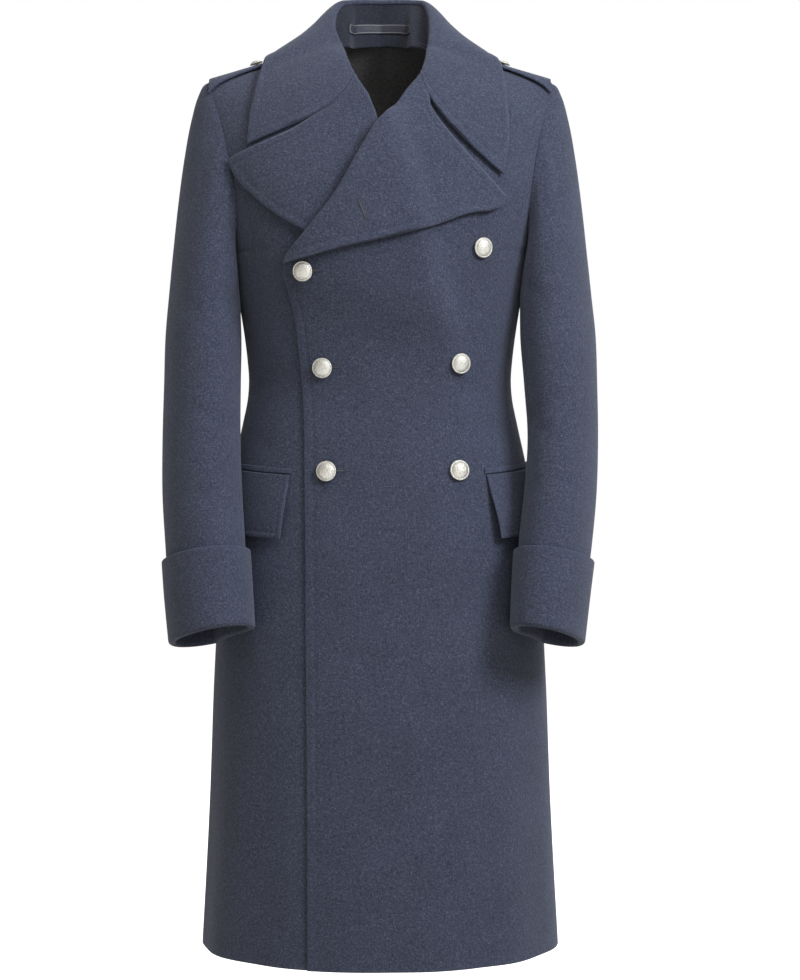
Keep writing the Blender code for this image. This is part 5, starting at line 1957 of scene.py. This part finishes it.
class GREATCOAT_OT_sleeves(bpy.types.Operator):
    """Make the sleeves and their turned-back cuffs"""

    bl_idname = "greatcoat.sleeves"
    bl_label = "Sleeves"

    def execute(self, context):
        made = body_forms()
        for side, name in SIDES:
            loop, out, shares = armhole_loop(made["front_" + name], made["back_" + name])
            grid = sleeve_grid(side, loop, out, shares, made["trees"])
            for part, start, end in (
                ("sleeve_top_", SLEEVE_BACK_SEAM, 1 + SLEEVE_FRONT_SEAM),
                ("sleeve_under_", SLEEVE_FRONT_SEAM, SLEEVE_BACK_SEAM),
            ):
                piece, middles = sleeve_fine(side, grid, shares, start, end)
                cloth = Cloth(part + name + "_wool", piece, middles)
                inside = lining_material()
                dress(cloth, part + name, wool_material(), inside)
            self.add_cuff(side, name, grid, shares)
        return {"FINISHED"}

    def add_cuff(self, side, name, grid, shares):
        """A double band round the sleeve's end, rolled under at the wrist and up inside."""
        rows = knots_of(grid, 0)
        at = np.arange(CUFF_POINTS) / CUFF_POINTS
        finer = around_at(smooth(rows, grid, np.linspace(0, 1, 160) * rows[-1]), shares, at)
        heights = finer[..., 2].mean(axis=1)
        normals = outward(finer, grid_normals(finer, True), finer.mean(axis=1))
        wanted = heights[-1] + CUFF_DEPTH * (1 - spread(CUFF_DEPTH, 8, 4, 5.0))

        def at_height(values):
            return np.array([
                [[np.interp(-z, -heights, values[:, c, k]) for k in range(3)] for c in range(values.shape[1])]
                for z in wanted
            ])

        band = at_height(finer)
        out = at_height(normals)
        out /= np.linalg.norm(out, axis=2, keepdims=True)
        band = band + out * (CUFF_GAP + DOUBLE_CLOTH)
        radius = (CUFF_GAP + DOUBLE_CLOTH + CLOTH + LAYER_GAP) / 2
        upward = -(band[-1] - band[-6])
        upward /= np.linalg.norm(upward, axis=1, keepdims=True)
        middle = band[-1] - out[-1] * radius - upward * (CUFF_ROLL - radius)
        lines = list(band[wanted > wanted[-1] + CUFF_ROLL])
        for turned in np.radians([0, 25, 50, 75, 100, 125, 150, 180]):
            lines.append(middle + (out[-1] * math.cos(turned) - upward * math.sin(turned)) * radius)
        foot = lines[-1]
        for up in CUFF_TURN_IN:
            lines.append(foot + upward * up - out[-1] * CUFF_LEAN_IN * up)
        grid = np.array(lines)
        shown = grid[: len(band)]
        cloth = Cloth("cuff_" + name + "_wool", grid, shown.mean(axis=(0, 1)), CUFF_CLOTH, True, ("top",))
        flat = outward(shown, cloth.normals[: len(band)], shown.mean(axis=1))
        if (flat[0] * cloth.normals[0]).sum() < 0:
            cloth.normals = -cloth.normals
        dress(cloth, "cuff_" + name, wool_material())


class GREATCOAT_OT_lapels(bpy.types.Operator):
    """Make the lapels, rolled back from the fronts"""

    bl_idname = "greatcoat.lapels"
    bl_label = "Lapels"

    def execute(self, context):
        inset = context.scene.greatcoat_sizes.stitch_inset / MM
        made = body_forms()
        for side, name in SIDES:
            tree = surface_tree([made["coarse"]["front_" + name]])
            grid = refine(lapel_grid(side, tree), (inset + 4, 5), (3, inset + 4), 5.5)
            grid = gorge_closed(side, grid, leaf_form(inset)[:, -1 if side > 0 else 0])
            normals = outward(grid, grid_normals(grid, False), CHEST_MIDDLE)
            grid = rolled(grid, normals, LAPEL_ROLL_RADIUS, np.full(len(grid), LAPEL_ROLL_RADIUS))
            cloth = Cloth(
                "lapel_" + name + "_wool", draped(grid), CHEST_MIDDLE, DOUBLE_CLOTH,
                edges=("top", "end"), stitched=("top", "end"), inset=inset
            )
            forms["lapel_" + name] = cloth
            dress(cloth.sew(), "lapel_" + name, wool_material())
        return {"FINISHED"}


class GREATCOAT_OT_collar(bpy.types.Operator):
    """Make the collar: its stand, and the leaf that turns down over it"""

    bl_idname = "greatcoat.collar"
    bl_label = "Collar"

    def execute(self, context):
        inset = context.scene.greatcoat_sizes.stitch_inset / MM
        grid = leaf_form(inset)
        normals = outward(grid, grid_normals(grid, False), CHEST_MIDDLE)
        turned = grid.transpose(1, 0, 2)
        away = np.abs(np.linspace(-1, 1, len(turned)))
        near_end = np.array([ease((a - 0.6) / 0.3) for a in away])
        setback = NAPE_SETBACK + (COLLAR_ROLL_RADIUS - NAPE_SETBACK) * near_end
        grid = rolled(turned, normals.transpose(1, 0, 2), COLLAR_ROLL_RADIUS, setback).transpose(1, 0, 2)
        cloth = Cloth(
            "collar_wool", grid, CHEST_MIDDLE, DOUBLE_CLOTH, edges=("foot", "start", "end"),
            stitched=("foot", "start", "end"), inset=inset
        )
        forms["collar"] = cloth
        dress(cloth.sew(), "collar", wool_material())
        stand = refine(stand_grid(), (4, 4), (4, 4), 4.5)
        cloth = Cloth("collar_stand_wool", stand, NECK_MIDDLE)
        forms["stand"] = cloth
        # The stand's wool is made darker: painted shade for the shadow inside the neck
        painted_shade_wool = wool_material("collar stand wool with painted shade", STAND_PAINTED_SHADE)
        dress(cloth, "collar_stand", painted_shade_wool)
        return {"FINISHED"}


class GREATCOAT_OT_label(bpy.types.Operator):
    """Make the blank label inside the collar"""

    bl_idname = "greatcoat.label"
    bl_label = "Label"

    def execute(self, context):
        stand = forms["stand"]
        across = np.linspace(-LABEL_HALF_WIDTH, LABEL_HALF_WIDTH, 41)
        lines = []
        for up in np.linspace(*LABEL_ON_STAND, 9):
            row = round(up * (stand.grid.shape[0] - 1))
            place, facing = stand.grid[row], stand.normals[row]
            nape = np.flatnonzero(np.abs(place[:, 0]) < NAPE_REACH)
            order = nape[np.argsort(place[nape, 0])]
            at = on_line(across, place[order, 0], place[order])
            normal = on_line(across, place[order, 0], facing[order])
            lines.append(at - normal * (CLOTH + LABEL_GAP))
        first, last = lines[0], lines[-1]
        grid = np.array([first * (1 - share) + last * share for share in np.linspace(0, 1, len(lines))])
        cloth = Cloth("label_blank", grid, BEHIND_NECK, LABEL_CLOTH, edges=("top", "foot", "start", "end"))
        dress(cloth, "label", label_material())
        return {"FINISHED"}


class GREATCOAT_OT_straps(bpy.types.Operator):
    """Make the shoulder straps"""

    bl_idname = "greatcoat.straps"
    bl_label = "Shoulder straps"

    def execute(self, context):
        inset = context.scene.greatcoat_sizes.small_inset / MM
        for side, name in SIDES:
            grid = refine(strap_grid(side), (inset + 3, 4), (inset + 3, inset + 3), 4.0)
            cloth = Cloth(
                "strap_" + name + "_wool", grid, (side * 180, 0, -200), CLOTH + 0.4,
                edges=("top", "start", "end"), stitched=("top", "start", "end"), inset=inset
            )
            forms["strap_" + name] = cloth
            dress(cloth.sew(), "strap_" + name, wool_material())
        return {"FINISHED"}


class GREATCOAT_OT_pockets(bpy.types.Operator):
    """Make the pocket flaps and the welts over them"""

    bl_idname = "greatcoat.pockets"
    bl_label = "Pockets"

    def execute(self, context):
        inset = context.scene.greatcoat_sizes.small_inset / MM
        made = body_forms()
        for side, name in SIDES:
            tree = surface_tree([made["coarse"]["front_" + name]])
            grid = refine(flap_grid(side, tree), (4, inset + 3), (inset + 3, 4), 4.5)
            cloth = Cloth(
                "flap_" + name + "_wool", draped(grid), (0, 0, FLAP_TOP_Z - 40), CLOTH,
                edges=("foot", "start"), stitched=("foot", "start"), inset=inset
            )
            forms["flap_" + name] = cloth
            dress(cloth.sew(), "flap_" + name, wool_material())
            grid = refine(welt_grid(side, tree), (2, 2), (2, 2), 3.0)
            cloth = Cloth(
                "welt_" + name + "_wool", draped(grid), (0, 0, FLAP_TOP_Z), WELT_CLOTH, edges=("top",)
            )
            dress(cloth, "welt_" + name, wool_material())
        return {"FINISHED"}


class GREATCOAT_OT_lining(bpy.types.Operator):
    """Make the half lining inside the upper back"""

    bl_idname = "greatcoat.lining"
    bl_label = "Lining"

    def execute(self, context):
        low, _ = body_rows()
        made = body_forms()
        for side, name in SIDES:
            grid = made["coarse"]["back_" + name]
            normals = outward(grid, grid_normals(grid, False), middle_of(grid))
            normals = seam_normals(grid, normals, True)
            keep = [r for r in range(len(grid)) if r >= len(low) or low[r] >= LINING_FOOT_Z]
            inner = (grid - normals * (CLOTH + LAYER_GAP))[keep][:, :-1]
            inner[:, 0, 0] = side * LINING_SEAM
            inner = refine(inner, (5, 5), (5, 5), 6.5)
            off_pleat = np.abs(inner[..., 0]) - BACK_PLEAT_X
            pleat = BACK_PLEAT * np.exp(-(off_pleat**2) / BACK_PLEAT_SPREAD)
            inner[..., 1] -= pleat * (inner[..., 1] > BACK_PLEAT_Y)
            cloth = Cloth("lining_" + name + "_satin", inner, middle_of(inner), LINING_CLOTH, edges=("top",))
            dress(cloth, "lining_" + name, lining_material())
        return {"FINISHED"}


class GREATCOAT_OT_buttons(bpy.types.Operator):
    """Make the six front buttons and the two shoulder buttons"""

    bl_idname = "greatcoat.buttons"
    bl_label = "Buttons"

    def execute(self, context):
        model = model_button()
        finish = metal_material()
        for name, (x, z) in BUTTON_PLACES.items():
            place, facing = coat_front(x, z, BUTTON_GAP)
            place_button(model, name, place, facing, BUTTON_RADIUS, finish)
        for side, name in SIDES:
            top = ridge_z(SHOULDER_BUTTON_X) + LAYER_GAP + CLOTH + STRAP_EXTRA
            facing = (side * SHOULDER_SLOPE, 0, 1)
            place = (side * SHOULDER_BUTTON_X, 0, top)
            place_button(model, "button_shoulder_" + name, place, facing, SHOULDER_BUTTON_RADIUS, finish)
        bpy.data.objects.remove(model, do_unlink=True)
        return {"FINISHED"}


class GREATCOAT_OT_sewing(bpy.types.Operator):
    """Make the topstitching and the worked buttonholes"""

    bl_idname = "greatcoat.sewing"
    bl_label = "Sewing"

    def execute(self, context):
        sizes = context.scene.greatcoat_sizes
        thread = thread_material()
        for key, cloth in list(forms.items()):
            if not isinstance(cloth, Cloth) or not cloth.stitched:
                continue
            rows = [stitches_on(cloth, border, sizes) for border in cloth.stitched]
            rows = [row for row in rows if row is not None]
            if not rows:
                raise RuntimeError("no stitches found on " + key)
            add_stitches("stitching_" + key, rows, sizes, thread)
        finishes = (thread, lining_material())
        over, up = BUTTONHOLE_OFFSET
        for name, (x, z) in BUTTON_PLACES.items():
            if name.endswith("_right"):
                place = name.replace("button_", "buttonhole_").replace("_right", "")
                add_buttonhole(place, coat_front, (x + over, z + up), 0, BUTTONHOLE_LENGTH, finishes)
        lapel = on_cloth(forms["lapel_left"])
        add_buttonhole(
            "buttonhole_lapel", lapel, LAPEL_HOLE_PLACE, LAPEL_HOLE_ANGLE, LAPEL_HOLE_LENGTH, finishes
        )
        return {"FINISHED"}


class GREATCOAT_OT_stage(bpy.types.Operator):
    """Make the floor, the lights and the camera"""

    bl_idname = "greatcoat.stage"
    bl_label = "Stage"

    def execute(self, context):
        deselect_all()
        bpy.ops.mesh.primitive_plane_add(size=FLOOR_SIZE, location=(0, 0, FLOOR_Z))
        floor = context.active_object
        floor.name = "studio_floor"
        floor.visible_diffuse = False
        floor.data.materials.append(floor_material())
        scene = context.scene
        scene.view_settings.view_transform = "Standard"
        world = bpy.data.worlds.new("studio")
        world.use_nodes = True
        w = Wires(world.node_tree)
        background = world.node_tree.nodes["Background"]
        seen = w.add("ShaderNodeLightPath").outputs["Is Camera Ray"]
        w.join(w.mix(seen, AMBIENT, WHITE), background.inputs["Color"])
        scene.world = world
        for row in LAMPS:
            bpy.ops.object.light_add(type="AREA", location=row.place)
            lamp = context.active_object
            lamp.name = row.name
            lamp.data.size = row.size
            lamp.data.energy = row.power
            lamp.data.color = row.colour
            towards = Vector(COAT_MIDDLE) - Vector(row.place)
            lamp.rotation_euler = towards.to_track_quat("-Z", "Y").to_euler()
        camera = bpy.data.cameras.new("camera")
        camera.sensor_fit = "VERTICAL"
        camera.sensor_height = SENSOR
        camera.sensor_width = SENSOR
        camera.lens = FOCAL_PIXELS / FRAME_PIXELS * SENSOR
        eye = bpy.data.objects.new("camera", camera)
        eye.location = EYE_PLACE
        eye.rotation_euler = (math.pi / 2 - math.atan(DROP_PIXELS / FOCAL_PIXELS), 0, 0)
        scene.collection.objects.link(eye)
        scene.camera = eye
        return {"FINISHED"}


STEPS = (
    GREATCOAT_OT_stage,
    GREATCOAT_OT_fronts,
    GREATCOAT_OT_backs,
    GREATCOAT_OT_sleeves,
    GREATCOAT_OT_lapels,
    GREATCOAT_OT_collar,
    GREATCOAT_OT_label,
    GREATCOAT_OT_straps,
    GREATCOAT_OT_pockets,
    GREATCOAT_OT_lining,
    GREATCOAT_OT_buttons,
    GREATCOAT_OT_sewing,
)


class GREATCOAT_PT_panel(bpy.types.Panel):
    """Sizes, colours and steps of the greatcoat"""

    bl_idname = "GREATCOAT_PT_panel"
    bl_label = "Greatcoat"
    bl_space_type = "VIEW_3D"
    bl_region_type = "UI"
    bl_category = "Greatcoat"

    def draw(self, context):
        for group in (context.scene.greatcoat_sizes, context.scene.greatcoat_colours):
            for name in group.__annotations__:
                self.layout.prop(group, name)
        for step in STEPS:
            self.layout.operator(step.bl_idname)


CLASSES = (GreatcoatSizes, GreatcoatColours, *STEPS, GREATCOAT_PT_panel)


def register():
    for item in CLASSES:
        bpy.utils.register_class(item)
    bpy.types.Scene.greatcoat_sizes = PointerProperty(type=GreatcoatSizes)
    bpy.types.Scene.greatcoat_colours = PointerProperty(type=GreatcoatColours)


def unregister():
    del bpy.types.Scene.greatcoat_colours
    del bpy.types.Scene.greatcoat_sizes
    for item in reversed(CLASSES):
        bpy.utils.unregister_class(item)


def main():
    register()
    for step in STEPS:
        group, name = step.bl_idname.split(".")
        getattr(getattr(bpy.ops, group), name)()


if __name__ == "__main__":
    main()
